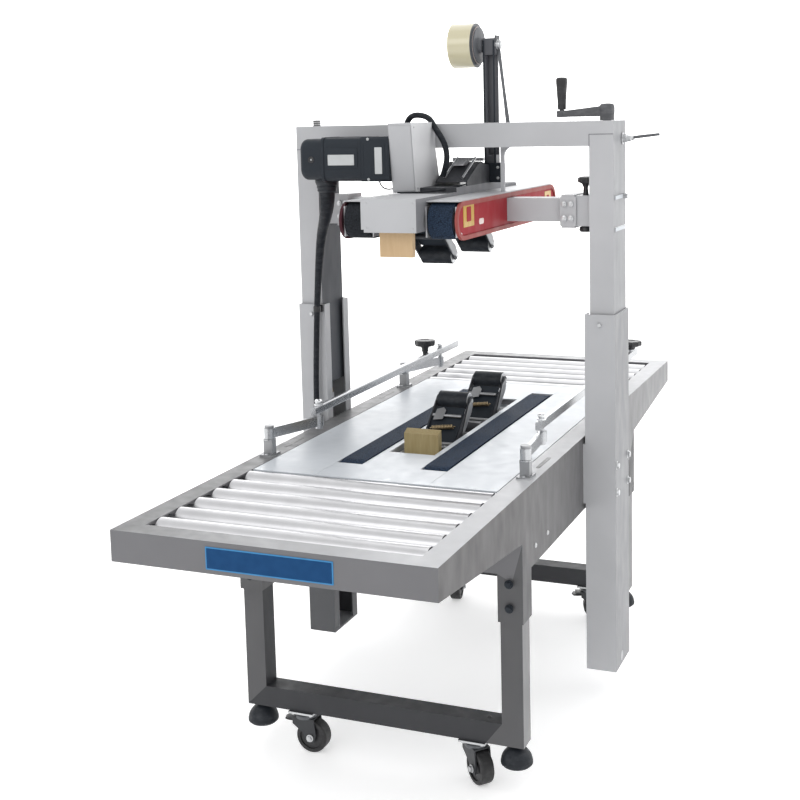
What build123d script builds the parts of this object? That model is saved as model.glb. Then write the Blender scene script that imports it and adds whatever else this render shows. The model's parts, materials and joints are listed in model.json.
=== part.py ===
"""Carton sealer with top and bottom drive belts: every piece in one frame, millimetres, +Z up.

X runs across the machine and Y along the carton's travel. Pieces are built about the machine's
centre plane, FLOOR above z = 0, and moved when they are written: then the floor is z = 0.
"""

from build123d import *
import math
import os

os.makedirs("parts", exist_ok=True)

# Overall
X_SHIFT = -36.0  # puts the middle of the bounding box on X = 0
FLOOR = 20.0  # height at which the casters stand while the pieces are built
SHEET = 3.0
FIT = 0.05  # radial clearance of a running fit
GAP = 0.3  # between curved faces that never touch

# Bed
BED_END = 885.0
BED_SIDE = 306.0
BED_TOP = 620.0
END_DEPTH = 57.0
SLOPE_Z = 520.0
DEEP_Z = 457.0
DEEP_Y = 462.0
FLANGE = 44.0
TABLE_END = 469.0
TABLE_SIDE = 260.0
CENTRE_SIDE = 121.0
OPEN_SIDE, OPEN_FRONT, OPEN_REAR = 51.0, -262.0, 291.0
SLOT_SIDE, SLOT_END = 64.0, 370.0

# Legs
TUBE = 44.0
LEG_X, LEG_Y = 280.0, 434.0
LEG_BOTTOM, LEG_TOP = 110.0, 600.0
SLEEVE_X, SLEEVE_Z = 255.0, 362.0
SLEEVE_Y = (408.0, 462.0)
FOOT_R, FOOT_Z, FOOT_H, STEM_R = 31.0, 66.0, 38.0, 9.0
BOLT_HEIGHTS = (441.0, 393.0)

# Casters
CASTER_X = {-1: -178.0, 1: 196.0}
TRAIL = 16.0
PLATE_HALF, PLATE_T = 28.0, 4.0
FORK_TOP = 94.0
WHEEL_R, WHEEL_W, AXLE_R = 34.0, 28.0, 5.0
WHEEL_Z = FLOOR + WHEEL_R
CASTERS = {
    "front_left": (-1, -1, 0.0),
    "front_right": (1, -1, -41.0),
    "rear_left": (-1, 1, 100.0),
    "rear_right": (1, 1, 20.0),
}

# Idle rollers
ROLLER_R, ROLLER_HALF, ROLLER_Z = 21.0, 259.0, 600.0
ROLLER_FIRST, ROLLER_PITCH, ROLLERS = 800.0, 62.6, 6
ROLLER_AXLE = 6.0

# Columns
COL_IN, COL_OUT = 311.0, 378.0
COL_Y = (-28.0, 96.0)
COL_Z = (93.0, 891.0)
LIP = 26.0
TUBE_X = (321.0, 374.0)
TUBE_Y = (-20.0, 88.0)
TUBE_Z = (700.0, 1250.0)
BEAM_TOP = 1303.0
SCREW_X, SCREW_Y, SCREW_R = 347.0, 34.0, 9.0
SPROCKET_R = 17.0

# Belts
BELT_X = (66.0, 118.0)
BELT_T = 4.0
LOW_END, LOW_Z, LOW_R = 340.0, 583.0, 35.0
UP_ENDS, UP_Z, UP_R = (-271.0, 343.0), 1110.0, 33.0
SHAFT_R = 10.0

# Tape heads
ARM_DY, ARM_DZ = 112.0, 94.0
ARM_X = (38.0, 41.0)
PRESS_R, PRESS_HALF = 20.0, 35.5
PIVOT_R, PIN_R = 12.0, 6.0
LOW_PIVOTS, LOW_PIVOT_Z = (-117.0, 120.0), 585.0
UP_PIVOTS, UP_PIVOT_Z = (-198.0, 45.0), 1115.0
TAPE_R, CORE_R, TAPE_HALF = 50.0, 38.0, 27.0
LOW_ROLL = (60.0, 508.0)
UP_ROLL = (108.0, 1477.0)

# Crank
CRANK_L, HUB_R, CRANK_TOP = 100.0, 15.5, 1339.0
GRIP_Z, GRIP_R = (1328.0, 1396.0), (8.5, 12.0)

# Drive motor and its chain housing
MOTOR_Y, MOTOR_Z, MOTOR_HALF = -110.0, 1231.0, 48.0
CAP_X, BODY_X, BOX_END = (-299.0, -241.0), (-241.0, -147.0), -81.0
HOUSING_X = (-81.0, -27.0)

# Upper head
BOX_X, BOX_Y, BOX_Z = 57.0, (-345.0, 290.0), (1091.0, 1158.0)
DECK_X, DECK_Y, DECK_TOP = (-26.5, 57.0), (-118.0, 196.0), 1168.0
COVER_Y, COVER_Z, COVER_R = (-308.0, 380.0), (1071.0, 1149.0), 39.0
COVER_X = (124.0, 127.0, 130.0)
GUARD_TOP = 1151.0
ARM_Z = (1087.0, 1138.0)
SUPPORT_Y = (9.0, 59.0)

# Conduit
CONDUIT_BENDS = [61, 125, 1500, 1500]
CONDUIT_R, CONDUIT_X, CONDUIT_END = 6.5, -254.0, 612.0

# Guides
POST_X, POST_Y, POST_PIN = 282.0, 360.0, 7.0
LINK_L, LINK_Z = 140.0, (656.0, 678.0)
RAIL_Z, RAIL_W = (684.0, 702.0), 12.0
RAIL_PIN = 5.0
LEFT_SWING, RIGHT_SWING = 21.0, -4.0  # degrees from the travel direction


def block(x, y, z, mode=Mode.ADD):
    """A box between the limits x, y and z."""
    with Locations((sum(x) / 2, sum(y) / 2, sum(z) / 2)):
        Box(abs(x[1] - x[0]), abs(y[1] - y[0]), abs(z[1] - z[0]), mode=mode)


def rod_x(x, y, z, r, mode=Mode.ADD):
    """A round bar along X."""
    with Locations((sum(x) / 2, y, z)):
        Cylinder(r, abs(x[1] - x[0]), rotation=(0, 90, 0), mode=mode)


def rod_y(x, y, z, r, mode=Mode.ADD):
    """A round bar along Y."""
    with Locations((x, sum(y) / 2, z)):
        Cylinder(r, abs(y[1] - y[0]), rotation=(90, 0, 0), mode=mode)


def rod_z(x, y, z, r, mode=Mode.ADD):
    """A round bar along Z."""
    with Locations((x, y, sum(z) / 2)):
        Cylinder(r, abs(z[1] - z[0]), mode=mode)


def sided(side, limits):
    """The limits mirrored to the side, -1 or 1."""
    return (side * limits[0], side * limits[1])


pieces = {}


# Leg frames: two square tubes joined by a cross tube, with domed feet and caster plates
def leg_frame(end):
    y = sided(end, (LEG_Y - TUBE / 2, LEG_Y + TUBE / 2))
    inner_y = sided(end, (LEG_Y - TUBE / 2 + SHEET, LEG_Y + TUBE / 2 - SHEET))
    beam_top = LEG_BOTTOM + TUBE
    leg_in = LEG_X - TUBE / 2
    with BuildPart() as frame:
        for side in (-1, 1):
            x = sided(side, (leg_in, LEG_X + TUBE / 2))
            inner_x = sided(side, (leg_in + SHEET, LEG_X + TUBE / 2 - SHEET))
            block(x, y, (LEG_BOTTOM, LEG_TOP))
            block(inner_x, inner_y, (LEG_BOTTOM + SHEET, LEG_TOP), Mode.SUBTRACT)
        block((-leg_in, leg_in), y, (LEG_BOTTOM, beam_top))
        block(
            (-leg_in, leg_in), inner_y, (LEG_BOTTOM + SHEET, beam_top - SHEET), Mode.SUBTRACT
        )
        for x in (-150.0, 225.0):
            rod_z(x, end * LEG_Y, (beam_top - SHEET, beam_top), 5, Mode.SUBTRACT)
        for side in (-1, 1):
            with BuildSketch(Plane.XZ) as dome:
                with BuildLine():
                    Polyline(
                        (0, FOOT_Z),
                        (FOOT_R - 4, FOOT_Z),
                        (FOOT_R, FOOT_Z + 4),
                        (FOOT_R, FOOT_Z + 9),
                    )
                    Spline(
                        (FOOT_R, FOOT_Z + 9),
                        (FOOT_R * 0.74, FOOT_Z + 28),
                        (STEM_R, FOOT_Z + FOOT_H),
                        tangents=((0, 1), (-1, 0.3)),
                    )
                    Polyline(
                        (STEM_R, FOOT_Z + FOOT_H), (STEM_R, LEG_BOTTOM), (0, LEG_BOTTOM), (0, FOOT_Z)
                    )
                make_face()
            with Locations((side * LEG_X, end * LEG_Y, 0)):
                add(revolve(dome.sketch, axis=Axis.Z, mode=Mode.PRIVATE))
            plate_x = (CASTER_X[side] - PLATE_HALF, CASTER_X[side] + PLATE_HALF)
            plate_y = (end * LEG_Y - PLATE_HALF, end * LEG_Y + PLATE_HALF)
            plate_z = (LEG_BOTTOM - PLATE_T, LEG_BOTTOM)
            block(plate_x, plate_y, plate_z)
            rod_z(CASTER_X[side], end * LEG_Y, plate_z, PIN_R + FIT, Mode.SUBTRACT)
    return frame.part


pieces["front_leg_frame"] = leg_frame(-1)
pieces["rear_leg_frame"] = leg_frame(1)


# Casters: the fork swivels on its kingpin and the wheel turns on the fork's axle
def caster_fork():
    with BuildPart() as fork:
        rod_z(0, 0, (LEG_BOTTOM - 12, LEG_BOTTOM - 1), PIN_R)
        rod_z(0, 0, (LEG_BOTTOM - 18, LEG_BOTTOM - 6), 22)
        for side in (-1, 1):
            with BuildSketch(Plane.XZ.offset(-side * 16.5 - 1.5)) as cheek:
                with BuildLine():
                    Polyline(
                        (-24, FORK_TOP),
                        (24, FORK_TOP),
                        (TRAIL + 13, WHEEL_Z + 8),
                        (TRAIL + 9, WHEEL_Z - 10),
                        (TRAIL - 9, WHEEL_Z - 10),
                        (TRAIL - 16, WHEEL_Z + 8),
                        (-24, FORK_TOP - 14),
                        (-24, FORK_TOP),
                    )
                make_face()
            add(extrude(cheek.sketch, amount=3, mode=Mode.PRIVATE))
        block((-26, 24), (-18, 18), (FORK_TOP - SHEET, FORK_TOP))
        rod_y(TRAIL, (-21, 21), WHEEL_Z, AXLE_R)
        block((-38, -18), (-13, 13), (FORK_TOP - 7, FORK_TOP - SHEET))
    return fork.part


def caster_wheel():
    with BuildPart() as wheel:
        rod_y(TRAIL, (-WHEEL_W / 2, WHEEL_W / 2), WHEEL_Z, WHEEL_R)
        fillet(wheel.edges().filter_by(GeomType.CIRCLE), 4)
        for side in (-1, 1):
            face = sided(side, (WHEEL_W / 2 - 3, WHEEL_W / 2))
            rod_y(TRAIL, face, WHEEL_Z, WHEEL_R - 9, Mode.SUBTRACT)
            rod_y(TRAIL, face, WHEEL_Z, 10)
        rod_y(TRAIL, (-WHEEL_W / 2, WHEEL_W / 2), WHEEL_Z, AXLE_R + FIT, Mode.SUBTRACT)
    return wheel.part


for name, (side, end, turn) in CASTERS.items():
    where = Location((CASTER_X[side], end * LEG_Y, 0), (0, 0, turn))
    pieces[f"caster_fork_{name}"] = caster_fork().moved(where)
    pieces[f"caster_wheel_{name}"] = caster_wheel().moved(where)

# Bed: folded side and end panels, cross walls and the sleeves that take the legs
with BuildPart() as bed:
    for side in (-1, 1):
        with BuildSketch(Plane.YZ.offset(side * BED_SIDE - (SHEET if side > 0 else 0))):
            with BuildLine():
                Polyline(
                    (-BED_END, BED_TOP),
                    (-BED_END, BED_TOP - END_DEPTH),
                    (-DEEP_Y, SLOPE_Z),
                    (-DEEP_Y, DEEP_Z),
                    (DEEP_Y, DEEP_Z),
                    (DEEP_Y, SLOPE_Z),
                    (BED_END, BED_TOP - END_DEPTH),
                    (BED_END, BED_TOP),
                    (-BED_END, BED_TOP),
                )
            make_face()
        extrude(amount=SHEET)
        flange_x = sided(side, (BED_SIDE - FLANGE, BED_SIDE - SHEET))
        block(flange_x, (-BED_END, BED_END), (BED_TOP - SHEET, BED_TOP))
        for end in (-1, 1):
            y = sided(end, SLEEVE_Y)
            hole_y = sided(end, (LEG_Y - TUBE / 2 - 0.5, LEG_Y + TUBE / 2 + 0.5))
            x = sided(side, (SLEEVE_X, BED_SIDE))
            hole_x = sided(side, (LEG_X - TUBE / 2 - 0.5, LEG_X + TUBE / 2 + 0.5))
            block(x, y, (SLEEVE_Z, BED_TOP - SHEET))
            block(hole_x, hole_y, (SLEEVE_Z, BED_TOP - SHEET), Mode.SUBTRACT)
    for end in (-1, 1):
        inner_x = (-BED_SIDE + SHEET, BED_SIDE - SHEET)
        flange = (-BED_SIDE + FLANGE, BED_SIDE - FLANGE)
        block(inner_x, sided(end, (BED_END - SHEET, BED_END)), (BED_TOP - END_DEPTH, BED_TOP - SHEET))
        block(flange, sided(end, (BED_END - FLANGE, BED_END)), (BED_TOP - SHEET, BED_TOP))
        block(
            (-SLEEVE_X, SLEEVE_X), sided(end, (DEEP_Y - SHEET, DEEP_Y)), (DEEP_Z, BED_TOP - 25)
        )
        for side in (-1, 1):
            for z in BOLT_HEIGHTS:
                rod_y(side * LEG_X, sided(end, (456.5, DEEP_Y)), z, 4, Mode.SUBTRACT)
pieces["bed_panels"] = bed.part

# Table plates: two side plates and a centre plate with the belt slots and the tape opening
with BuildPart() as table:
    top = (BED_TOP - SHEET, BED_TOP)
    for side in (-1, 1):
        block(sided(side, (CENTRE_SIDE + 0.5, TABLE_SIDE)), (-TABLE_END, TABLE_END), top)
    block((-CENTRE_SIDE, CENTRE_SIDE), (-TABLE_END, TABLE_END), top)
    block((-OPEN_SIDE, OPEN_SIDE), (OPEN_FRONT, OPEN_REAR), top, Mode.SUBTRACT)
    for side in (-1, 1):
        block(sided(side, (SLOT_SIDE, CENTRE_SIDE + 0.5)), (-SLOT_END, SLOT_END), top, Mode.SUBTRACT)
    for side in (-1, 1):
        for end in (-1, 1):
            y = sided(end, (DEEP_Y - 12, DEEP_Y - SHEET))
            block(sided(side, (130, 250)), y, (BED_TOP - 25, BED_TOP - SHEET))
pieces["table_plates"] = table.part

# Bed hardware: roller axles, the bolts that clamp the legs and the posts of the guides
with BuildPart() as hardware:
    for end in (-1, 1):
        for i in range(ROLLERS):
            y = end * (ROLLER_FIRST - i * ROLLER_PITCH)
            rod_x((-BED_SIDE + SHEET, BED_SIDE - SHEET), y, ROLLER_Z, ROLLER_AXLE)
        for side in (-1, 1):
            for z in BOLT_HEIGHTS:
                rod_y(side * LEG_X, sided(end, (456.5, DEEP_Y)), z, 4)
                rod_y(side * LEG_X, sided(end, (DEEP_Y, 468)), z, 6.5)
            post = (side * POST_X, end * POST_Y)
            block((post[0] - 14, post[0] + 14), (post[1] - 20, post[1] + 20), (BED_TOP, BED_TOP + 4))
            block((post[0] - 10, post[0] + 10), (post[1] - 9, post[1] + 9), (BED_TOP + 4, LINK_Z[0] - GAP))
            rod_z(*post, (LINK_Z[0] - GAP, LINK_Z[1] + GAP), POST_PIN)
            rod_z(*post, (LINK_Z[1] + GAP, RAIL_Z[0] - GAP), 10)
    # box on the left side where the motor's conduit enters the bed
    block((-346, -BED_SIDE), (-64, -30), (560, CONDUIT_END))
pieces["bed_hardware"] = hardware.part


# Idle rollers: a tube with a bored plug in each end
def idle_roller(y):
    with BuildPart() as roller:
        rod_x((-ROLLER_HALF, ROLLER_HALF), y, ROLLER_Z, ROLLER_R)
        rod_x((-ROLLER_HALF, ROLLER_HALF), y, ROLLER_Z, ROLLER_R - 2, Mode.SUBTRACT)
        for side in (-1, 1):
            rod_x(sided(side, (ROLLER_HALF - 12, ROLLER_HALF - 1)), y, ROLLER_Z, ROLLER_R - 2)
        rod_x((-ROLLER_HALF, ROLLER_HALF), y, ROLLER_Z, ROLLER_AXLE + FIT, Mode.SUBTRACT)
    return roller.part


for i in range(ROLLERS):
    y = ROLLER_FIRST - i * ROLLER_PITCH
    pieces[f"front_roller_{i + 1}"] = idle_roller(-y)
    pieces[f"rear_roller_{i + 1}"] = idle_roller(y)

# Outer columns: lipped channels open to the machine's middle, with the lifting nuts on posts inside
with BuildPart() as columns:
    for side in (-1, 1):
        block(sided(side, (COL_IN, COL_OUT)), COL_Y, COL_Z)
        inner_y = (COL_Y[0] + SHEET, COL_Y[1] - SHEET)
        inner_x = sided(side, (COL_IN + SHEET, COL_OUT - SHEET))
        block(inner_x, inner_y, (COL_Z[0] + 5, COL_Z[1]), Mode.SUBTRACT)
        slot_y = (COL_Y[0] + LIP, COL_Y[1] - LIP)
        block(sided(side, (COL_IN, COL_IN + SHEET)), slot_y, (COL_Z[0] + 5, COL_Z[1]), Mode.SUBTRACT)
        for y in ((COL_Y[0], COL_Y[0] + 22), (COL_Y[1] - 22, COL_Y[1])):
            block(sided(side, (BED_SIDE, COL_IN)), y, (DEEP_Z + 15, BED_TOP - 15))
        rod_z(side * SCREW_X, SCREW_Y, (COL_Z[0] + 5, 640), 16)
        rod_z(side * SCREW_X, SCREW_Y, (640, 670), 20)
        rod_z(side * SCREW_X, SCREW_Y, (COL_Z[0] + 5, 640), 12, Mode.SUBTRACT)
        rod_z(side * SCREW_X, SCREW_Y, (640, 670), SCREW_R + GAP, Mode.SUBTRACT)
        rod_y(side * (COL_IN + COL_OUT) / 2, (COL_Y[0] - 3, COL_Y[0]), COL_Z[1] - 22, 5)
pieces["outer_columns"] = columns.part


# Drive belts: closed loops with rounded noses
def belt_loops(ends, z, r):
    with BuildPart() as belts:
        for side in (-1, 1):
            x = BELT_X[0] if side > 0 else -BELT_X[1]
            mid, length = (sum(ends) / 2, z), ends[1] - ends[0]
            with BuildSketch(Plane.YZ.offset(x)) as loop:
                with Locations(mid):
                    SlotCenterToCenter(length, 2 * (r + BELT_T))
                    SlotCenterToCenter(length, 2 * r, mode=Mode.SUBTRACT)
            add(extrude(loop.sketch, amount=BELT_X[1] - BELT_X[0], mode=Mode.PRIVATE))
    return belts.part


def belt_drums(y, z, r, reach):
    with BuildPart() as drums:
        for side in (-1, 1):
            rod_x(sided(side, BELT_X), y, z, r - GAP)
        rod_x(reach, y, z, SHAFT_R)
    return drums.part


pieces["lower_belts"] = belt_loops((-LOW_END, LOW_END), LOW_Z, LOW_R)
pieces["upper_belts"] = belt_loops(UP_ENDS, UP_Z, UP_R)
pieces["lower_drive_drums"] = belt_drums(LOW_END, LOW_Z, LOW_R, (-150, 125))
pieces["lower_idler_drums"] = belt_drums(-LOW_END, LOW_Z, LOW_R, (-125, 125))
pieces["upper_drive_drums"] = belt_drums(UP_ENDS[0], UP_Z, UP_R, (-124, 124))
pieces["upper_idler_drums"] = belt_drums(UP_ENDS[1], UP_Z, UP_R, (-124, 124))

# Lower drive: gearbox on the drive shaft with its motor lying under the table
with BuildPart() as low_motor:
    block((-215, -126), (LOW_END - 46, LOW_END + 46), (LOW_Z - 62, LOW_Z + 28))
    rod_x((-150 - 1, -126), LOW_END, LOW_Z, SHAFT_R + FIT, Mode.SUBTRACT)
    rod_y(-172, (LOW_END - 190, LOW_END - 46), LOW_Z - 20, 42)
    rod_y(-172, (LOW_END - 226, LOW_END - 190), LOW_Z - 20, 38)
    block((-200, -144), (LOW_END - 150, LOW_END - 80), (LOW_Z - 76, LOW_Z - 50))
pieces["lower_gear_motor"] = low_motor.part


# Tape heads: frame, two swinging arms, two pressing rollers, a block in front and a tape roll
def head_arm(y, z, dz):
    length = math.hypot(ARM_DY, dz)
    angle = math.degrees(math.atan2(dz, ARM_DY))
    with BuildPart() as arm:
        for x in (ARM_X[0], -ARM_X[1]):
            with BuildSketch(Plane.YZ.offset(x)) as bar:
                with Locations((y + ARM_DY / 2, z + dz / 2)):
                    SlotCenterToCenter(length, 22, rotation=angle)
            add(extrude(bar.sketch, amount=ARM_X[1] - ARM_X[0], mode=Mode.PRIVATE))
        rod_x((-ARM_X[1], ARM_X[1]), y, z, PIVOT_R)
        rod_x((-ARM_X[1], ARM_X[1]), y, z, PIN_R + FIT, Mode.SUBTRACT)
        rod_x((-ARM_X[1], ARM_X[1]), y + ARM_DY, z + dz, AXLE_R)
        rod_x((-ARM_X[0], ARM_X[0]), y + 0.55 * ARM_DY, z + 0.55 * dz, 5)
    return arm.part


def press_roller(y, z):
    with BuildPart() as roller:
        rod_x((-PRESS_HALF, PRESS_HALF), y, z, PRESS_R)
        chamfer(roller.edges().filter_by(GeomType.CIRCLE), 1.2)
        rod_x((-PRESS_HALF, PRESS_HALF), y, z, AXLE_R + FIT, Mode.SUBTRACT)
    return roller.part


def tape_roll(y, z):
    with BuildPart() as roll:
        rod_x((-TAPE_HALF, TAPE_HALF), y, z, TAPE_R)
        rod_x((-TAPE_HALF, TAPE_HALF), y, z, CORE_R, Mode.SUBTRACT)
        rod_x((-TAPE_HALF + 6, TAPE_HALF + 4), y, z, CORE_R)
        rod_x((TAPE_HALF, TAPE_HALF + 4), y, z, CORE_R + 4)
        rod_x((-TAPE_HALF, TAPE_HALF - 4), y, z, CORE_R - 4, Mode.SUBTRACT)
        rod_x((-TAPE_HALF, TAPE_HALF - 4), y, z, 12)
        rod_x((-TAPE_HALF, TAPE_HALF + 4), y, z, PIN_R + FIT, Mode.SUBTRACT)
    return roll.part


for label, y, z, dz in (
    ("lower_front", LOW_PIVOTS[0], LOW_PIVOT_Z, ARM_DZ),
    ("lower_rear", LOW_PIVOTS[1], LOW_PIVOT_Z, ARM_DZ),
    ("upper_front", UP_PIVOTS[0], UP_PIVOT_Z, -ARM_DZ),
    ("upper_rear", UP_PIVOTS[1], UP_PIVOT_Z, -ARM_DZ),
):
    pieces[f"{label}_arm"] = head_arm(y, z, dz)
    pieces[f"{label}_press_roller"] = press_roller(y + ARM_DY, z + dz)
pieces["lower_tape_roll"] = tape_roll(*LOW_ROLL)
pieces["upper_tape_roll"] = tape_roll(*UP_ROLL)

with BuildPart() as low_head:
    for side in (-1, 1):
        for x in ((54, 57), (122, 125)):
            block(sided(side, x), (-DEEP_Y + SHEET, DEEP_Y - SHEET), (550, BED_TOP - SHEET))
            for end in (-1, 1):
                rod_x(sided(side, x), end * LOW_END, LOW_Z, SHAFT_R + FIT, Mode.SUBTRACT)
        block(sided(side, (57, 122)), (-296, 296), (613, 616.5))
        block(sided(side, (44, 47)), (-232, 266), (475, 610))
        for y in (-224, 258):
            block(sided(side, (47, 54)), (y - 8, y + 8), (560, 600))
        block(sided(side, (54, 57)), (-230, 262), (475, 550))
    for y, z in ((-205, 500), (-40, 555), (245, 500), (LOW_ROLL[0], LOW_ROLL[1])):
        rod_x((-44, 44), y, z, PIN_R)
    for y in LOW_PIVOTS:
        rod_x((-44, 44), y, LOW_PIVOT_Z, PIN_R)
    rod_x((-54, 54), -178, 590, PIN_R)
    with BuildSketch(Plane.YZ.offset(-39.5)) as wedge:
        with BuildLine():
            Polyline((-209, 599), (-209, 648.5), (-191, 656), (-191, 599), (-209, 599))
        make_face()
    add(extrude(wedge.sketch, amount=79, mode=Mode.PRIVATE))
    block((-30, 30), (-209, -160), (582, 599))
pieces["lower_head_frame"] = low_head.part

# Gantry: two inner columns that slide in the outer ones, joined by a hollow beam
with BuildPart() as gantry:
    wall_y = (TUBE_Y[0] + SHEET, TUBE_Y[1] - SHEET)
    for side in (-1, 1):
        block(sided(side, TUBE_X), TUBE_Y, TUBE_Z)
        hollow_x = sided(side, (TUBE_X[0] + SHEET, TUBE_X[1] - SHEET))
        block(hollow_x, wall_y, (TUBE_Z[0], TUBE_Z[1]), Mode.SUBTRACT)
    block((-TUBE_X[1], TUBE_X[1]), TUBE_Y, (TUBE_Z[1], BEAM_TOP))
    block(
        (-TUBE_X[1] + SHEET, TUBE_X[1] - SHEET), wall_y, (TUBE_Z[1] + SHEET, BEAM_TOP - SHEET), Mode.SUBTRACT
    )
    for side in (-1, 1):
        rod_z(side * SCREW_X, SCREW_Y, (TUBE_Z[1], BEAM_TOP), SCREW_R + FIT, Mode.SUBTRACT)
        # gusset from the beam down to the belt guard
        with BuildSketch(Plane.XZ.offset(-30)) as gusset:
            with BuildLine():
                inner, outer = side * 106, side * 114
                Polyline((outer, GUARD_TOP), (inner, GUARD_TOP), (inner, 1250), (side * 138, 1250))
                ThreePointArc((side * 138, 1250), (side * 121, 1244), (outer, 1226))
                Line((outer, 1226), (outer, GUARD_TOP))
            make_face()
        add(extrude(gusset.sketch, amount=-8, mode=Mode.PRIVATE))
        # column bracket with its clamp bolts
        block(sided(side, (284, 321)), (2, 66), (1078, 1144))
        block(sided(side, (254, 284)), (-2, 70), (1074, 1146))
        for x, z in ((261, 1092), (277, 1092), (261, 1128), (277, 1128)):
            rod_y(side * x, (-7, -2), z, 5)
        for z in (1140, 1072):
            block(sided(side, (374, 374.9)), (-14, 82), (z - 5, z + 5))
    # chain between the two screws
    with BuildSketch(Plane.XY.offset(1274)) as chain:
        with Locations((0, SCREW_Y)):
            SlotCenterToCenter(2 * SCREW_X, 2 * (SPROCKET_R + 4.6))
            SlotCenterToCenter(2 * SCREW_X, 2 * (SPROCKET_R + GAP), mode=Mode.SUBTRACT)
    add(extrude(chain.sketch, amount=6, mode=Mode.PRIVATE))
    for side in (-1, 1):
        block((side * 100 - 12, side * 100 + 12), (SCREW_Y - 22, SCREW_Y + 22), (TUBE_Z[1] + SHEET, 1274))
    # lock rod and peg on the right of the beam and column
    rod_x((374, 386), 60, 1264, 9)
    with Locations((419.5, 60, 1268)):
        Cylinder(3, 71, rotation=(0, 84, 0))
    rod_x((374, 386), 60, 1140, 5)
pieces["gantry_frame"] = gantry.part


# Lifting screws: each turns in the gantry and runs in the nut of its column
def lift_screw(side, top):
    with BuildPart() as screw:
        rod_z(side * SCREW_X, SCREW_Y, (470, top), SCREW_R)
        rod_z(side * SCREW_X, SCREW_Y, (1273, 1281), SPROCKET_R)
        rod_z(side * SCREW_X, SCREW_Y, (1242, 1249.7), 14)
    return screw.part


pieces["left_lift_screw"] = lift_screw(-1, 1317)
with BuildPart() as crank:
    add(lift_screw(1, 1320))
    rod_z(SCREW_X, SCREW_Y, (BEAM_TOP + 0.5, CRANK_TOP), HUB_R)
    fillet(crank.faces().sort_by(Axis.Z)[-1].edges(), 5)
    grip_x = SCREW_X - CRANK_L
    with BuildSketch(Plane.XZ.offset(-(SCREW_Y - 10))) as arm_shape:
        with BuildLine():
            Polyline(
                (SCREW_X, 1312),
                (grip_x - 9, 1312),
                (grip_x - 9, GRIP_Z[0] - 2),
                (grip_x + 16, GRIP_Z[0] - 1.5),
                (SCREW_X - 22, CRANK_TOP - 6),
                (SCREW_X, CRANK_TOP - 4),
                (SCREW_X, 1312),
            )
        make_face()
    add(extrude(arm_shape.sketch, amount=-20, mode=Mode.PRIVATE))
    rod_z(grip_x, SCREW_Y, (GRIP_Z[0] - 4, GRIP_Z[1] - 3), AXLE_R)
pieces["crank_and_screw"] = crank.part

with BuildPart() as grip:
    with Locations((grip_x, SCREW_Y, sum(GRIP_Z) / 2)):
        Cone(*GRIP_R, GRIP_Z[1] - GRIP_Z[0])
    fillet(grip.faces().sort_by(Axis.Z)[-1].edges(), 4)
    rod_z(grip_x, SCREW_Y, (GRIP_Z[0], GRIP_Z[1] - 3 + GAP), AXLE_R + FIT, Mode.SUBTRACT)
pieces["crank_grip"] = grip.part

# Upper head: box, belt plates and guards, support arms and the raised deck
with BuildPart() as head:
    block((-BOX_X, BOX_X), (BOX_Y[0], BOX_Y[0] + SHEET), BOX_Z)
    block((-BOX_X, BOX_X), (BOX_Y[1] - SHEET, BOX_Y[1]), BOX_Z)
    block((-BOX_X, BOX_X), BOX_Y, (BOX_Z[1] - SHEET, BOX_Z[1]))
    block((-BOX_X, BOX_X), (BOX_Y[0], -240), (BOX_Z[0], BOX_Z[0] + SHEET))
    block((-BOX_X - 6, -BOX_X), (BOX_Y[0], BOX_Y[0] + SHEET), (BOX_Z[0] + 6, BOX_Z[1] - 4))
    for side in (-1, 1):
        block(sided(side, (BOX_X - SHEET, BOX_X)), BOX_Y, BOX_Z)
        for x in ((BOX_X, BOX_X + SHEET), (COVER_X[0] - SHEET, COVER_X[0])):
            block(sided(side, x), (-296, 368), (1078, 1140))
            for y in UP_ENDS:
                rod_x(sided(side, x), y, UP_Z, SHAFT_R + FIT, Mode.SUBTRACT)
        for y in UP_ENDS[:1]:
            rod_x(sided(side, (BOX_X - SHEET, BOX_X)), y, UP_Z, SHAFT_R + FIT, Mode.SUBTRACT)
        block(sided(side, (BOX_X + SHEET, COVER_X[0] - SHEET)), (-228, 302), (1077.6, 1081))
        block(sided(side, (BOX_X, COVER_X[1])), (-290, 364), (COVER_Z[1], GUARD_TOP))
        block(sided(side, (COVER_X[1], 254)), SUPPORT_Y, ARM_Z)
        hollow = (SUPPORT_Y[0] + SHEET, SUPPORT_Y[1] - SHEET)
        block(sided(side, (COVER_X[1], 254)), hollow, (ARM_Z[0] + SHEET, ARM_Z[1] - SHEET), Mode.SUBTRACT)
    block(DECK_X, DECK_Y, (BOX_Z[1], DECK_TOP))
    hollow_x, hollow_y = (DECK_X[0] + SHEET, DECK_X[1] - SHEET), (DECK_Y[0] + SHEET, DECK_Y[1] - SHEET)
    block(hollow_x, hollow_y, (BOX_Z[1], DECK_TOP - SHEET), Mode.SUBTRACT)
    for y in UP_PIVOTS:
        rod_x((-BOX_X + SHEET, BOX_X - SHEET), y, UP_PIVOT_Z, PIN_R)
    for y in (-225, -20, 230):
        rod_x((-BOX_X + SHEET, BOX_X - SHEET), y, 1140, PIN_R)
    block((-36, 36), (-316, -302), (1039, BOX_Z[0]))
pieces["upper_head_frame"] = head.part

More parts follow.
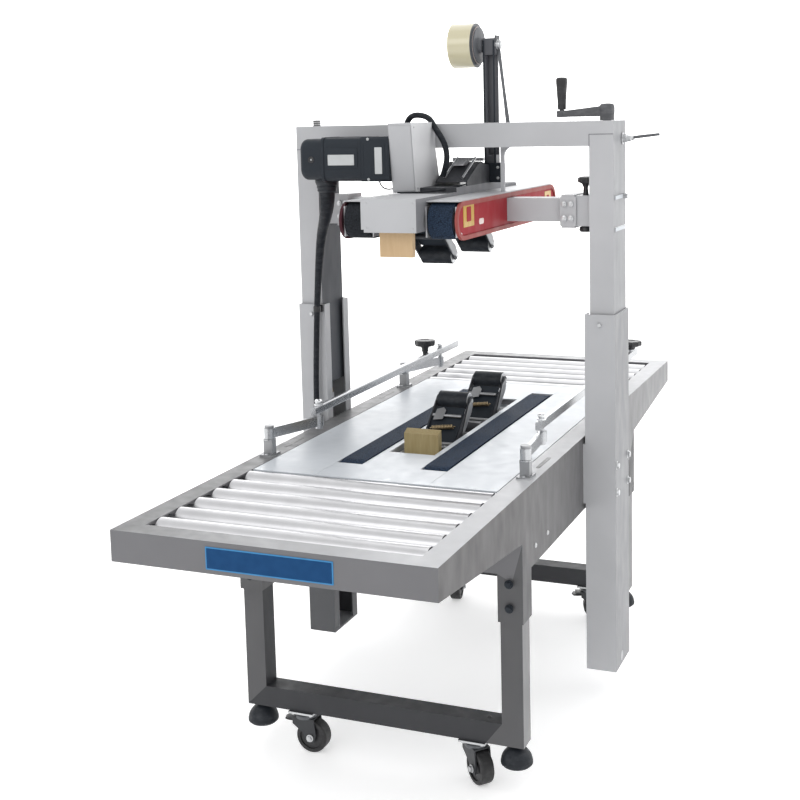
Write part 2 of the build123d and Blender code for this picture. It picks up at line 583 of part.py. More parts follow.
# Belt covers: flat plates with round ends and a raised rim
with BuildPart() as covers:
    for side in (-1, 1):
        mid = (sum(COVER_Y) / 2, sum(COVER_Z) / 2)
        length = COVER_Y[1] - COVER_Y[0] - 2 * COVER_R
        plane = Plane.YZ.offset(COVER_X[0] if side > 0 else -COVER_X[1])
        with BuildSketch(plane) as plate:
            with Locations(mid):
                SlotCenterToCenter(length, 2 * COVER_R)
        add(extrude(plate.sketch, amount=COVER_X[1] - COVER_X[0], mode=Mode.PRIVATE))
        plane = Plane.YZ.offset(COVER_X[1] if side > 0 else -COVER_X[2])
        with BuildSketch(plane) as rim:
            with Locations(mid):
                SlotCenterToCenter(length, 2 * COVER_R)
                SlotCenterToCenter(length, 2 * COVER_R - 18, mode=Mode.SUBTRACT)
        add(extrude(rim.sketch, amount=COVER_X[2] - COVER_X[1], mode=Mode.PRIVATE))
pieces["belt_covers"] = covers.part

# Drive motor with gearbox, and the leaning housing of its chain
with BuildPart() as motor:
    square = (MOTOR_Y - MOTOR_HALF, MOTOR_Y + MOTOR_HALF), (MOTOR_Z - MOTOR_HALF, MOTOR_Z + MOTOR_HALF)
    block((BODY_X[1], BOX_END), *square)
    chamfer(motor.edges().filter_by(Axis.X), 5)
    with BuildSketch(Plane.YZ.offset(BODY_X[0])) as body_shape:
        with Locations((MOTOR_Y, MOTOR_Z)):
            RectangleRounded(2 * MOTOR_HALF - 2, 2 * MOTOR_HALF - 2, 14)
    add(extrude(body_shape.sketch, amount=BODY_X[1] - BODY_X[0], mode=Mode.PRIVATE))
    with BuildSketch(Plane.YZ.offset(CAP_X[0])) as cap_shape:
        with Locations((MOTOR_Y, MOTOR_Z)):
            RectangleRounded(2 * MOTOR_HALF - 6, 2 * MOTOR_HALF - 6, 24)
    with BuildPart(mode=Mode.PRIVATE) as cap:
        add(extrude(cap_shape.sketch, amount=CAP_X[1] - CAP_X[0], mode=Mode.PRIVATE))
        fillet(cap.faces().sort_by(Axis.X)[0].edges(), 14)
    add(cap.part)
    rod_z(CONDUIT_X, MOTOR_Y, (MOTOR_Z - MOTOR_HALF + GAP, MOTOR_Z - 40), 20)
pieces["drive_motor"] = motor.part

with BuildPart() as housing:
    with BuildSketch(Plane.YZ.offset(HOUSING_X[0])) as case:
        with BuildLine():
            Polyline(
                (-160, 1307),
                (-24, 1307),
                (-22, 1249),
                (4, 1158),
                (-141, 1158),
                (-160, 1307),
            )
        make_face()
    add(extrude(case.sketch, amount=HOUSING_X[1] - HOUSING_X[0], mode=Mode.PRIVATE))
    block((HOUSING_X[0] + SHEET, HOUSING_X[1] - SHEET), (-138, -24), (1158, 1301), Mode.SUBTRACT)
pieces["drive_housing"] = housing.part

# Tape mast: channel behind the beam with its foot, spindle and stay
with BuildPart() as mast:
    block((44, 72), (100, 126), (DECK_TOP, 1492))
    block((49, 72), (100, 121), (1230, 1455), Mode.SUBTRACT)
    block((37, 44), (96, 130), (DECK_TOP, 1204))
    block((72, 79), (96, 130), (DECK_TOP, 1204))
    rod_x((-TAPE_HALF - 3, 44), *UP_ROLL, PIN_R)
    rod_x((-TAPE_HALF - 7, -TAPE_HALF - 3), *UP_ROLL, 11)
    rod_x((72, 84), *UP_ROLL, 10)
    block((72, 76), (100, 126), (1455, 1498))
pieces["tape_mast"] = mast.part


# Guides: swinging links on the bed posts carry a rail on each side
def guide_link(side, end, swing, knob):
    with BuildPart() as link:
        with BuildSketch(Plane.XY.offset(LINK_Z[0])) as bar:
            with Locations((0, LINK_L / 2)):
                Rectangle(9, LINK_L)
            Circle(11)
            with Locations((0, LINK_L)):
                Circle(10)
            Circle(POST_PIN + FIT, mode=Mode.SUBTRACT)
            with Locations((0, LINK_L)):
                Circle(RAIL_PIN + FIT, mode=Mode.SUBTRACT)
        add(extrude(bar.sketch, amount=LINK_Z[1] - LINK_Z[0], mode=Mode.PRIVATE))
        if knob:
            rod_z(0, 82, (LINK_Z[1], 717), 7)
            rod_z(0, 82, (717, 731), 26)
    return link.part.moved(Location((side * POST_X, end * POST_Y, 0), (0, 0, -swing)))


def guide_rail(side, swing, knob):
    x = side * POST_X + LINK_L * math.sin(math.radians(swing))
    pivot_y = LINK_L * math.cos(math.radians(swing)) - POST_Y
    far_y = pivot_y + 2 * POST_Y
    with BuildPart() as rail:
        block((x - RAIL_W / 2, x + RAIL_W / 2), (pivot_y - 26, far_y + 124), RAIL_Z)
        fillet(rail.edges().filter_by(Axis.Y), 3)
        for y in (pivot_y, far_y):
            rod_z(x, y, (LINK_Z[0] - 6, RAIL_Z[0] + 3), RAIL_PIN)
            rod_z(x, y, (RAIL_Z[1], RAIL_Z[1] + 9), 7)
            rod_z(x, y, (LINK_Z[0] - 6, LINK_Z[0] - 0.5), 8)
        if knob:
            rod_z(x, far_y + 76, (RAIL_Z[1], 716), 9)
            rod_z(x, far_y + 76, (716, 728), 22)
    return rail.part


for label, side, swing, link_knob in (("left", -1, LEFT_SWING, True), ("right", 1, RIGHT_SWING, False)):
    pieces[f"{label}_front_guide_link"] = guide_link(side, -1, swing, False)
    pieces[f"{label}_rear_guide_link"] = guide_link(side, 1, swing, link_knob)
    pieces[f"{label}_guide_rail"] = guide_rail(side, swing, not link_knob)

# Motor conduit: hangs in front of the left column from the gearbox to the bed
with BuildPart() as conduit:
    with BuildLine() as route:
        FilletPolyline(
            (CONDUIT_X, MOTOR_Y, MOTOR_Z - MOTOR_HALF),
            (CONDUIT_X, MOTOR_Y, 1124),
            (-305, -48, 1050),
            (-322, -42, 905),
            (-333, -43, 720),
            (-333, -43, CONDUIT_END),
            radius=CONDUIT_BENDS,
        )
    with BuildSketch(Plane(origin=route.line @ 0, z_dir=route.line % 0)):
        Circle(CONDUIT_R)
    sweep()
pieces["conduit"] = conduit.part

for name, piece in pieces.items():
    placed = piece.moved(Location((X_SHIFT, 0, -FLOOR)))
    placed.label = name
    export_step(placed, f"parts/{name}.step")
print(len(pieces), "pieces; conduit radius", CONDUIT_R, "mm, bends", CONDUIT_BENDS, "mm")
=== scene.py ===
"""Looks of the carton sealer: materials, fittings, cables and studio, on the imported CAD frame."""

import json
import math
from contextlib import contextmanager

import bmesh
import bpy
from mathutils import Matrix, Vector


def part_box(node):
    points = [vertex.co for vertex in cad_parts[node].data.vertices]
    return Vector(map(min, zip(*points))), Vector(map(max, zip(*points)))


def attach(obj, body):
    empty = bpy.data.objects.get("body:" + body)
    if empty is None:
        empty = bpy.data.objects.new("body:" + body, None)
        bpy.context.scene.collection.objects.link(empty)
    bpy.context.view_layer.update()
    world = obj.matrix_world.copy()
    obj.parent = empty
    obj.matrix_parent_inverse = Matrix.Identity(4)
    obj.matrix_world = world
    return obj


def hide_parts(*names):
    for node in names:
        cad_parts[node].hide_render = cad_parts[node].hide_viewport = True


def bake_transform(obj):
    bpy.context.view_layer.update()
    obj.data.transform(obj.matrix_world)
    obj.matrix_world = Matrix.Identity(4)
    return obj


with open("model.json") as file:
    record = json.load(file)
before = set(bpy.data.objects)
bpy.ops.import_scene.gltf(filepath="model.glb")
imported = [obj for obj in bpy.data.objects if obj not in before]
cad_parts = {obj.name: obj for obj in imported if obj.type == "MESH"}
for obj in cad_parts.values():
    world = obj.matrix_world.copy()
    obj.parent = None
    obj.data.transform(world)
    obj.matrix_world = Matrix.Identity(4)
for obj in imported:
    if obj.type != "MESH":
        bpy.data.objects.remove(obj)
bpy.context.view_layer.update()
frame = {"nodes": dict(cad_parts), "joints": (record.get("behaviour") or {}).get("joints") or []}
NODES = frame["nodes"]

MM = 0.001
BED_LO, BED_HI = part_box("bed_panels")
CENTRE_X = (BED_LO[0] + BED_HI[0]) / 2  # the machine's middle plane
TABLE = 620.0  # the top of the table in the heights used below
FLOOR = TABLE - BED_HI[2] / MM  # the floor in the same heights
X, Y, Z = Vector((1, 0, 0)), Vector((0, 1, 0)), Vector((0, 0, 1))

# Places that several pieces share, in mm from the machine's middle.
LEG_X, LEG_Y = 280, 434
CASTER_X = {-1: -178, 1: 196}
POST_X, POST_Y = 282, 360
SCREW_X, SCREW_Y, SCREW_TOP = 347, 34, 1303.4
HANDLE_X = 247
COLUMN_FACE = 375
LOCK_Y, LOCK_Z = 60, 1264
MOTOR_X, MOTOR_Y, MOTOR_Z = -194, -110, 1231
TAPE_Y, TAPE_Z = 108, 1477

CORNERS = ("front_left", "front_right", "rear_left", "rear_right")
HEADS = ("lower_front", "lower_rear", "upper_front", "upper_rear")
ROLLERS = [f"{end}_roller_{number}" for end in ("front", "rear") for number in range(1, 7)]


def at(x, y, z):
    """A point in metres from mm across and along from the machine's middle, and a height in mm."""
    return Vector((CENTRE_X + x * MM, y * MM, (z - FLOOR) * MM))


def local(point):
    """The reverse of at: a point in metres as mm across, along and in height."""
    return Vector(((point[0] - CENTRE_X) / MM, point[1] / MM, point[2] / MM + FLOOR))


def middle(node):
    """The middle of a CAD node's box, in metres."""
    lo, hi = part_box(node)
    return (Vector(lo) + Vector(hi)) / 2


def joint(name):
    """A joint's place in metres and the direction of its axis."""
    row = next(j for j in frame["joints"] if j["name"] == name)
    return Vector(row["pos_m"]), Vector(row["axis"])


# -------------------- materials


class Nodes:
    """Short names for building a node tree."""

    def __init__(self, name):
        self.material = bpy.data.materials.new(name)
        self.material.use_nodes = True
        self.tree = self.material.node_tree
        self.shader = self.tree.nodes["Principled BSDF"]
        self.coords = self.tree.nodes.new("ShaderNodeTexCoord").outputs["Object"]

    def node(self, kind, **values):
        made = self.tree.nodes.new("ShaderNode" + kind)
        for key, value in values.items():
            setattr(made, key, value)
        return made

    def link(self, out, into):
        self.tree.links.new(out, into)

    def stretched(self, scale):
        mapping = self.node("Mapping")
        mapping.inputs["Scale"].default_value = scale
        self.link(self.coords, mapping.inputs["Vector"])
        return mapping.outputs["Vector"]

    def noise(self, scale, detail=3.0, stretch=(1, 1, 1), rough=0.5):
        made = self.node("TexNoise")
        made.inputs["Scale"].default_value = scale
        made.inputs["Detail"].default_value = detail
        made.inputs["Roughness"].default_value = rough
        self.link(self.stretched(stretch), made.inputs["Vector"])
        return made.outputs["Fac"]

    def ramp(self, fac, stops):
        made = self.node("ValToRGB")
        ramp = made.color_ramp
        while len(ramp.elements) < len(stops):
            ramp.elements.new(0.5)
        for element, (place, color) in zip(ramp.elements, stops):
            element.position = place
            element.color = (*color, 1)
        self.link(fac, made.inputs["Fac"])
        return made.outputs["Color"]

    def span(self, fac, low, high, source=(0.3, 0.7)):
        made = self.node("MapRange")
        made.inputs["From Min"].default_value = source[0]
        made.inputs["From Max"].default_value = source[1]
        made.inputs["To Min"].default_value = low
        made.inputs["To Max"].default_value = high
        self.link(fac, made.inputs["Value"])
        return made.outputs["Result"]

    def blend(self, fac, a, b):
        made = self.node("Mix", data_type="RGBA")
        self.link(fac, made.inputs["Factor"])
        for value, socket in ((a, made.inputs[6]), (b, made.inputs[7])):
            if isinstance(value, tuple):
                socket.default_value = (*value, 1)
            else:
                self.link(value, socket)
        return made.outputs[2]

    def along(self, axis):
        """How far a point lies along X, Y or Z of the object, in metres."""
        split = self.node("SeparateXYZ")
        self.link(self.coords, split.inputs["Vector"])
        return split.outputs[axis]

    def combine(self, a, b, how="ADD"):
        made = self.node("Math", operation=how)
        for value, socket in ((a, made.inputs[0]), (b, made.inputs[1])):
            if isinstance(value, (int, float)):
                socket.default_value = value
            else:
                self.link(value, socket)
        return made.outputs["Value"]

    def bump(self, height, strength, distance=0.001, below=None):
        made = self.node("Bump")
        made.inputs["Strength"].default_value = strength
        made.inputs["Distance"].default_value = distance
        self.link(height, made.inputs["Height"])
        if below:
            self.link(below, made.inputs["Normal"])
        self.link(made.outputs["Normal"], self.shader.inputs["Normal"])
        return made.outputs["Normal"]

    def set(self, **values):
        names = {"metal": "Metallic", "specular": "Specular IOR Level"}
        names |= {"coat": "Coat Weight", "coat_rough": "Coat Roughness"}
        for key, value in values.items():
            self.shader.inputs[names[key]].default_value = value

    def color(self, value):
        self.link(value, self.shader.inputs["Base Color"])

    def rough(self, value):
        self.link(value, self.shader.inputs["Roughness"])


def tinted(color, factor):
    """A colour made darker or lighter."""
    return tuple(min(1.0, channel * factor) for channel in color)


def powder_nodes(name, color, rough=0.42, peel=0.16, shine=0.45):
    """Powder coated sheet metal: orange peel, faint clouds and rubbed patches."""
    m = Nodes(name)
    clouds = m.noise(5.0, 4)
    m.color(m.ramp(clouds, ((0.32, tinted(color, 0.93)), (0.68, tinted(color, 1.05)))))
    rubbed = m.noise(38.0, 5, (1, 1, 0.35))
    m.rough(m.span(rubbed, rough - 0.07, rough + 0.09))
    soft = m.bump(m.noise(420.0, 2), peel, 0.0004)
    m.bump(m.noise(7.0, 1), 0.05, 0.004, soft)
    m.set(specular=shine)
    return m


def powder_coat(*look):
    """Powder coat of one tone."""
    return powder_nodes(*look).material


def painted_light_coat(name, color, painted_light_tone, *ramps):
    """Powder coat with painted light and shade: it turns to a second tone where every ramp (axis, start,
    end), in metres, has risen.
    """
    m = powder_nodes(name, color)
    painted_light_mask = 1.0
    for axis, start, end in ramps:
        painted_light_mask = m.combine(painted_light_mask, m.span(m.along(axis), 0.0, 1.0, (start, end)), "MULTIPLY")
    painted = m.shader.inputs["Base Color"].links[0].from_socket
    m.color(m.blend(painted_light_mask, painted, painted_light_tone))
    return m.material


def brushed(name, color, rough, grain=(1, 40, 40), spots=0.1, metal=1.0):
    """Plated steel with brush lines that run where grain is smallest, and faint water spots."""
    m = Nodes(name)
    lines = m.noise(60.0, 5, grain, 0.62)
    clouds = m.noise(22.0, 4)
    dull = m.ramp(clouds, ((0.3, tinted(color, 1 - spots)), (0.7, tinted(color, 1.04))))
    m.color(m.blend(m.span(lines, 0.0, 0.35), dull, tinted(color, 0.8)))
    m.rough(m.span(lines, rough - 0.06, rough + 0.12))
    m.bump(lines, 0.08, 0.0004)
    m.set(metal=metal)
    return m.material


def moulded(name, color, rough, grain=700.0, depth=0.12, shine=0.5):
    """Moulded plastic or hard rubber: fine grain, scuffs that are a little lighter."""
    m = Nodes(name)
    scuffs = m.noise(45.0, 6, (1, 1, 2.2), 0.65)
    m.color(m.ramp(scuffs, ((0.45, color), (0.78, tuple(c + 0.02 for c in tinted(color, 1.5))))))
    m.rough(m.span(m.noise(90.0, 4), rough - 0.08, rough + 0.1))
    m.bump(m.noise(grain, 2), depth, 0.0003)
    m.set(specular=shine)
    return m.material


def belt_rubber(name, color):
    """Drive belt with a rough top: small lozenges, grooves darker than the top and pale wear."""
    m = Nodes(name)
    cells = m.node("TexVoronoi", feature="DISTANCE_TO_EDGE")
    cells.inputs["Scale"].default_value = 260.0
    m.link(m.stretched((1, 0.6, 1)), cells.inputs["Vector"])
    edge = cells.outputs["Distance"]
    worn = m.noise(9.0, 6, (1, 0.4, 1), 0.7)
    top = m.ramp(worn, ((0.35, color), (0.72, tinted(color, 1.7))))
    m.color(m.blend(m.span(edge, 0.0, 1.0, (0.02, 0.16)), tinted(color, 0.45), top))
    m.rough(m.span(worn, 0.62, 0.8))
    m.bump(m.span(edge, 0.0, 1.0, (0.0, 0.2)), 0.5, 0.0006)
    m.set(specular=0.12)
    return m.material


def nylon(name, light, dark):
    """Sawn block of tan plastic: upright saw lines of two tones over faint clouds."""
    m = Nodes(name)
    lines = m.noise(34.0, 4, (6, 6, 0.6), 0.6)
    shade = m.ramp(lines, ((0.3, dark), (0.7, light)))
    m.color(m.blend(m.span(m.noise(11.0, 2), 0.0, 0.5), shade, tinted(dark, 0.82)))
    m.rough(m.span(lines, 0.48, 0.66))
    m.bump(m.noise(180.0, 3, (1, 1, 0.15)), 0.2, 0.0005)
    return m.material


def wound_tape(name, film, side, centre):
    """A roll of tape: rings of wound film on its ends and a glossy skin round it."""
    winding, skin_start, skin_end = 5200.0, 0.0492, 0.0497
    m = Nodes(name)
    dy = m.combine(m.along("Y"), -centre[1])
    dz = m.combine(m.along("Z"), -centre[2])
    square = m.combine(m.combine(dy, dy, "MULTIPLY"), m.combine(dz, dz, "MULTIPLY"))
    radius = m.combine(square, 0.5, "POWER")
    rings = m.combine(m.combine(radius, winding, "MULTIPLY"), 0.0, "SINE")
    layers = m.span(rings, 0.0, 1.0, (-1.0, 1.0))
    outer = m.span(radius, 0.0, 1.0, (skin_start, skin_end))
    edge = m.blend(layers, side, tinted(side, 0.86))
    m.color(m.blend(outer, edge, film))
    m.rough(m.span(outer, 0.45, 0.2, (0.0, 1.0)))
    m.bump(rings, 0.12, 0.0002)
    m.set(coat=0.5, coat_rough=0.12)
    return m.material


def threaded(name, color, pitch):
    """Steel screw: rings of the thread's pitch in the bump, with their roots darker."""
    m = Nodes(name)
    turns = m.combine(m.combine(m.along("Z"), 2 * math.pi / pitch, "MULTIPLY"), 0.0, "SINE")
    thread = m.span(turns, 0.0, 1.0, (-1.0, 1.0))
    m.color(m.blend(thread, tinted(color, 0.35), color))
    m.rough(m.span(thread, 0.55, 0.28, (0.0, 1.0)))
    m.bump(thread, 0.9, pitch * 0.3)
    m.set(metal=0.9)
    return m.material


def sticker(name, color, rough=0.35, coat=0.3, shine=0.5):
    """Printed film with a slight ripple and handling marks."""
    m = Nodes(name)
    marks = m.noise(60.0, 5)
    m.color(m.ramp(marks, ((0.4, color), (0.75, tinted(color, 0.88)))))
    m.rough(m.span(marks, rough - 0.08, rough + 0.12))
    m.bump(m.noise(24.0, 2), 0.06, 0.0006)
    m.set(coat=coat, specular=shine)
    return m.material


PAINT = (0.43, 0.435, 0.45)
GREY = powder_coat("grey_paint", PAINT)
# Painted shade: the left column's front and inner faces turn dark below the bed.
SHADE_BELOW_BED = (("Z", 0.46, 0.42), ("X", CENTRE_X + 0.01, CENTRE_X - 0.01))
COLUMN_PAINTED_SHADE = painted_light_coat("column_paint_shaded_below_bed", PAINT, (0.07, 0.072, 0.078), *SHADE_BELOW_BED)
# Painted shade: a darker copy of the grey paint for the columns' right faces.
COLUMN_SIDE_PAINTED_SHADE = powder_coat("column_side", (0.22, 0.223, 0.234))
# Painted shade: a darker copy of the grey paint for the right face of the gantry's right tube.
TUBE_SIDE_PAINTED_SHADE = powder_coat("tube_side", (0.27, 0.274, 0.286))
TUBE_SHADE = powder_coat("tube_shade", (0.06, 0.065, 0.075), 0.5, 0.16, 0.3)
# Painted shade: the bed's right side, dark at the front and lighter to the rear.
BED_SIDE_PAINTED_SHADE = painted_light_coat("bed_side_painted_shade", (0.062, 0.06, 0.062), (0.21, 0.21, 0.216), ("Y", -0.5, 0.7))
# Painted light: a lighter copy of the grey paint for the drive housing's right face.
HOUSING_PAINTED_LIGHT = powder_coat("light_paint", (0.66, 0.665, 0.68))
# Painted light: the flange tops run from a dark tone at the left to the grey paint at the right.
FLANGE_LIGHT_ACROSS = ("X", CENTRE_X - 0.28, CENTRE_X + 0.24)
FLANGE_PAINTED_LIGHT = painted_light_coat("flange_painted_light", (0.125, 0.126, 0.13), PAINT, FLANGE_LIGHT_ACROSS)
# Painted shade: a darker copy of the grey paint for the bed's panels.
BED_PAINTED_SHADE = powder_coat("bed_paint", (0.135, 0.135, 0.143))
# Painted shade: a darker copy of the grey paint for the legs and the bed's leg clamps.
LEG_PAINTED_SHADE = powder_coat("leg_paint", (0.078, 0.078, 0.082), 0.46)
# Painted light: a lighter tone for the right legs' right faces.
LEG_PAINTED_LIGHT = powder_coat("leg_light", (0.20, 0.20, 0.205), 0.46)
LEG_SHADE = powder_coat("leg_shade", (0.045, 0.046, 0.05), 0.5, 0.16, 0.2)
SHADE_GREY = powder_coat("shade_paint", (0.19, 0.192, 0.205), 0.5)
DARK_RED = powder_coat("red_shade", (0.045, 0.008, 0.014), 0.45, 0.1, 0.2)
WHITE = powder_coat("white_plate", (0.52, 0.55, 0.585), 0.36, 0.02)
RED = powder_coat("red_cover", (0.30, 0.02, 0.028), 0.5, 0.08, 0.15)
RIM = powder_coat("red_rim", (0.28, 0.065, 0.058), 0.45, 0.08, 0.2)
BLACK = powder_coat("black_paint", (0.022, 0.027, 0.034), 0.5, 0.2, 0.15)
MAST = powder_coat("mast_paint", (0.075, 0.078, 0.088), 0.45)
FORK = powder_coat("fork_paint", (0.03, 0.032, 0.036), 0.4)
IRON = moulded("cast_iron", (0.075, 0.077, 0.083), 0.5, 300.0, 0.5)
DARK_STEEL = powder_coat("dark_steel", (0.10, 0.105, 0.115), 0.4, 0.15)
HEAD_DARK = powder_coat("head_paint", (0.04, 0.042, 0.048), 0.45, 0.15, 0.3)
ROLLER = brushed("roller_steel", (0.62, 0.62, 0.635), 0.33, (2, 60, 60), 0.08)
ZINC = brushed("zinc_steel", (0.62, 0.63, 0.64), 0.34, (30, 30, 4), 0.14)
ARM_STEEL = brushed("arm_steel", (0.36, 0.365, 0.375), 0.4, (30, 30, 4), 0.2)
RAIL = brushed("rail_steel", (0.52, 0.53, 0.545), 0.24, (30, 3, 30), 0.1)
BRIGHT = brushed("bright_steel", (0.80, 0.81, 0.82), 0.2, (30, 3, 30), 0.06)
BRONZE = brushed("bronze", (0.46, 0.36, 0.22), 0.36, (20, 20, 20), 0.2)
PLATE = brushed("silver_plate", (0.50, 0.515, 0.52), 0.42, (2, 50, 50), 0.08, 0.6)
BELT = belt_rubber("belt_rubber", (0.018, 0.031, 0.056))
# Painted shade: a darker, nearly black copy of the belt rubber for the left upper belt.
BELT_PAINTED_SHADE = belt_rubber("belt_rubber_painted_shade", (0.016, 0.018, 0.022))
RUBBER = moulded("black_rubber", (0.012, 0.015, 0.02), 0.5, 260.0, 0.2, 0.3)
PLASTIC = moulded("black_plastic", (0.012, 0.012, 0.014), 0.36)
TREAD = moulded("caster_tread", (0.012, 0.012, 0.013), 0.55, 300.0)
CABLE = moulded("cable_sheath", (0.01, 0.012, 0.016), 0.5, 500.0, 0.12, 0.18)
NYLON = nylon("tan_nylon", (0.57, 0.405, 0.24), (0.50, 0.345, 0.185))
# Painted shade: a darker copy of the tan nylon for the block of the lower head at the table.
NYLON_PAINTED_SHADE = nylon("tan_nylon_painted_shade", (0.37, 0.295, 0.15), (0.28, 0.215, 0.09))
SCREW = threaded("lift_screw", (0.5, 0.5, 0.5), 0.005)
BLUE = sticker("blue_plate", (0.004, 0.05, 0.15), 0.5, 0.0, 0.15)
BLUE_RIM = sticker("blue_plate_rim", (0.05, 0.22, 0.45), 0.5, 0.0, 0.2)
YELLOW = sticker("yellow_label", (0.50, 0.30, 0.03))
PALE = sticker("pale_label", (0.75, 0.62, 0.58))


def tape_material(node):
    """The film of one tape roll, with its rings about the roll's own middle."""
    return wound_tape(node + "_film", (0.54, 0.50, 0.345), (0.49, 0.43, 0.29), middle(node))


# -------------------- CAD nodes


def round_edges(obj, width, angle):
    """Rounds the edges of an object that turn by more than the angle, by a width in mm."""
    edge = obj.modifiers.new("edges", "BEVEL")
    edge.width = width * MM
    edge.segments = 2
    edge.limit_method = "ANGLE"
    edge.angle_limit = math.radians(angle)
    return edge


def skin(node, base, *rules, bevel=0.0):
    """Gives a CAD node its materials: each rule is (material, test of a face's centre and normal in mm)."""
    obj = NODES[node]
    mesh = obj.data
    mesh.materials.clear()
    mesh.materials.append(base)
    for material, _ in rules:
        mesh.materials.append(material)
    for face in mesh.polygons:
        face.material_index = 0
        centre = local(face.center)
        for index, (_, test) in enumerate(rules):
            if test(centre, face.normal):
                face.material_index = index + 1
    if bevel:
        round_edges(obj, bevel, 40).harden_normals = True


def inside(x=None, y=None, z=None):
    """A test that a face's centre lies within limits, each (low, high) in mm or None."""
    limits = [pair or (-math.inf, math.inf) for pair in (x, y, z)]
    return lambda c, n: all(low <= value <= high for value, (low, high) in zip(c, limits))


def near_axis(y, z, reach):
    """A test that a face's centre is within reach of an axis along X."""
    return lambda c, n: math.hypot(c.y - y, c.z - z) <= reach


def facing_right(low, high=math.inf):
    """A test of a face that looks to +X and lies between two limits across, in mm."""
    return lambda c, n: n.x > 0.9 and low < c.x < high


for leg in ("front_leg_frame", "rear_leg_frame"):
    skin(
        leg,
        # Painted shade over the whole leg frame.
        LEG_PAINTED_SHADE,
        (LEG_SHADE, facing_right(-260, -255)),
        # Painted light on the right legs' right faces.
        (LEG_PAINTED_LIGHT, facing_right(299)),
        (LEG_SHADE, inside((-257, 257), z=(109, 155))),
        (RUBBER, inside(z=(40, 109))),
        (ZINC, inside((-240, 240), z=(99, 109))),
        bevel=1.4,
    )
for place in CORNERS:
    skin(f"caster_fork_{place}", FORK, bevel=0.5)
    skin(f"caster_wheel_{place}", TREAD)
skin(
    "bed_panels",
    # Painted shade over the whole bed.
    BED_PAINTED_SHADE,
    # Painted shade on the bed's right side.
    (BED_SIDE_PAINTED_SHADE, facing_right(304)),
    # Painted light across the flange tops.
    (FLANGE_PAINTED_LIGHT, lambda c, n: n.z > 0.9 and c.z > 619),
    # Painted shade on the bed's leg clamps, as on the legs.
    (LEG_PAINTED_SHADE, lambda c, n: 400 <= abs(c.y) <= 470 and 300 <= c.z <= 456),
    bevel=1.0,
)
skin("table_plates", WHITE, bevel=0.4)
skin(
    "bed_hardware",
    ZINC,
    (BLACK, lambda c, n: 462 <= abs(c.y) <= 470 and 380 <= c.z <= 460),
    (GREY, inside((-350, -300), (-70, -20), (550, 620))),
    (ARM_STEEL, inside(z=(622, 700))),
)
skin(
    "outer_columns",
    GREY,
    # Painted shade on the right column's right face.
    (COLUMN_SIDE_PAINTED_SHADE, facing_right(377)),
    # Painted shade below the bed on the left column's front and inner faces.
    (COLUMN_PAINTED_SHADE, lambda c, n: c.x < 0 and (n.y < -0.9 or n.x > 0.9)),
    bevel=1.2,
)
skin(
    "gantry_frame",
    GREY,
    (BLACK, inside((-340, 340), z=(1272, 1282))),
    (TUBE_SHADE, lambda c, n: n.x > 0.9 and -323 < c.x < -320 and c.z < 1249),
    # Painted shade on the right tube's right face.
    (TUBE_SIDE_PAINTED_SHADE, facing_right(373, 375)),
    (DARK_STEEL, inside((387, 460), (50, 70), (1255, 1277))),
    (BRIGHT, inside((374.5, 387), (50, 70))),
    bevel=1.0,
)
skin(
    "upper_head_frame",
    GREY,
    (NYLON, inside((-37, 37), (-320, -300), (1000, 1090.5))),
    (HEAD_DARK, inside((-27, 57.5), (-118.5, 196.5), (1158.2, 1170))),
    (SHADE_GREY, lambda c, n: abs(n.x) > 0.9 and 53 < abs(c.x) < 61),
    bevel=0.6,
)
skin(
    "belt_covers",
    RED,
    (RIM, lambda c, n: abs(c.x) > 128.0 or abs(n.x) < 0.5),
    (DARK_RED, lambda c, n: c.x < 0 and n.x > -0.9),
)
skin("lower_belts", BELT)
# Painted shade on the left upper belt.
skin("upper_belts", BELT, (BELT_PAINTED_SHADE, lambda c, n: c.x < 0))
for drums in ("lower_drive", "lower_idler", "upper_drive", "upper_idler"):
    skin(f"{drums}_drums", ZINC, (DARK_STEEL, lambda c, n: abs(c.x) > 60))
skin("lower_gear_motor", BLACK, bevel=2.0)
skin(
    "lower_head_frame",
    HEAD_DARK,
    (GREY, facing_right(-60, -40)),
    # Painted shade on the lower head's nylon block.
    (NYLON_PAINTED_SHADE, inside((-40, 40), (-210, -190), (581, 660))),
    bevel=0.5,
)
skin("drive_motor", BLACK, bevel=1.0)
# Painted light on the drive housing's right face.
skin("drive_housing", GREY, (HOUSING_PAINTED_LIGHT, facing_right(-30)), bevel=1.6)
skin("tape_mast", MAST, (ZINC, inside((79, 99))), (ZINC, inside((-40, 43))), bevel=0.6)
skin("crank_and_screw", SCREW, (IRON, inside(z=(1303, 1345))), (IRON, inside((200, 330))))
skin("left_lift_screw", SCREW)
skin("crank_grip", PLASTIC)
skin("conduit", CABLE)
for head in HEADS:
    skin(f"{head}_arm", HEAD_DARK, bevel=0.5)
    skin(f"{head}_press_roller", RUBBER, (ZINC, lambda c, n: abs(c.x) > 35.3))
for side in ("left", "right"):
    skin(f"{side}_front_guide_link", RAIL, bevel=0.8)
    skin(f"{side}_rear_guide_link", RAIL, (PLASTIC, inside(z=(680, 740))), bevel=0.8)
    skin(f"{side}_guide_rail", RAIL, (PLASTIC, inside(z=(712, 740))))
for node in ROLLERS:
    skin(node, ROLLER, (DARK_STEEL, lambda c, n: abs(c.x) > 257.5))
for node in ("lower_tape_roll", "upper_tape_roll"):
    centre = local(middle(node))
    hub = near_axis(centre.y, centre.z, 38.5)
    skin(node, tape_material(node), (DARK_STEEL, inside((26.5, 40))), (PALE, hub))


# -------------------- mesh building


def turned(direction):
    """The rotation that takes +Z to the direction."""
    return Vector(direction).normalized().to_track_quat("Z", "Y").to_matrix().to_4x4()


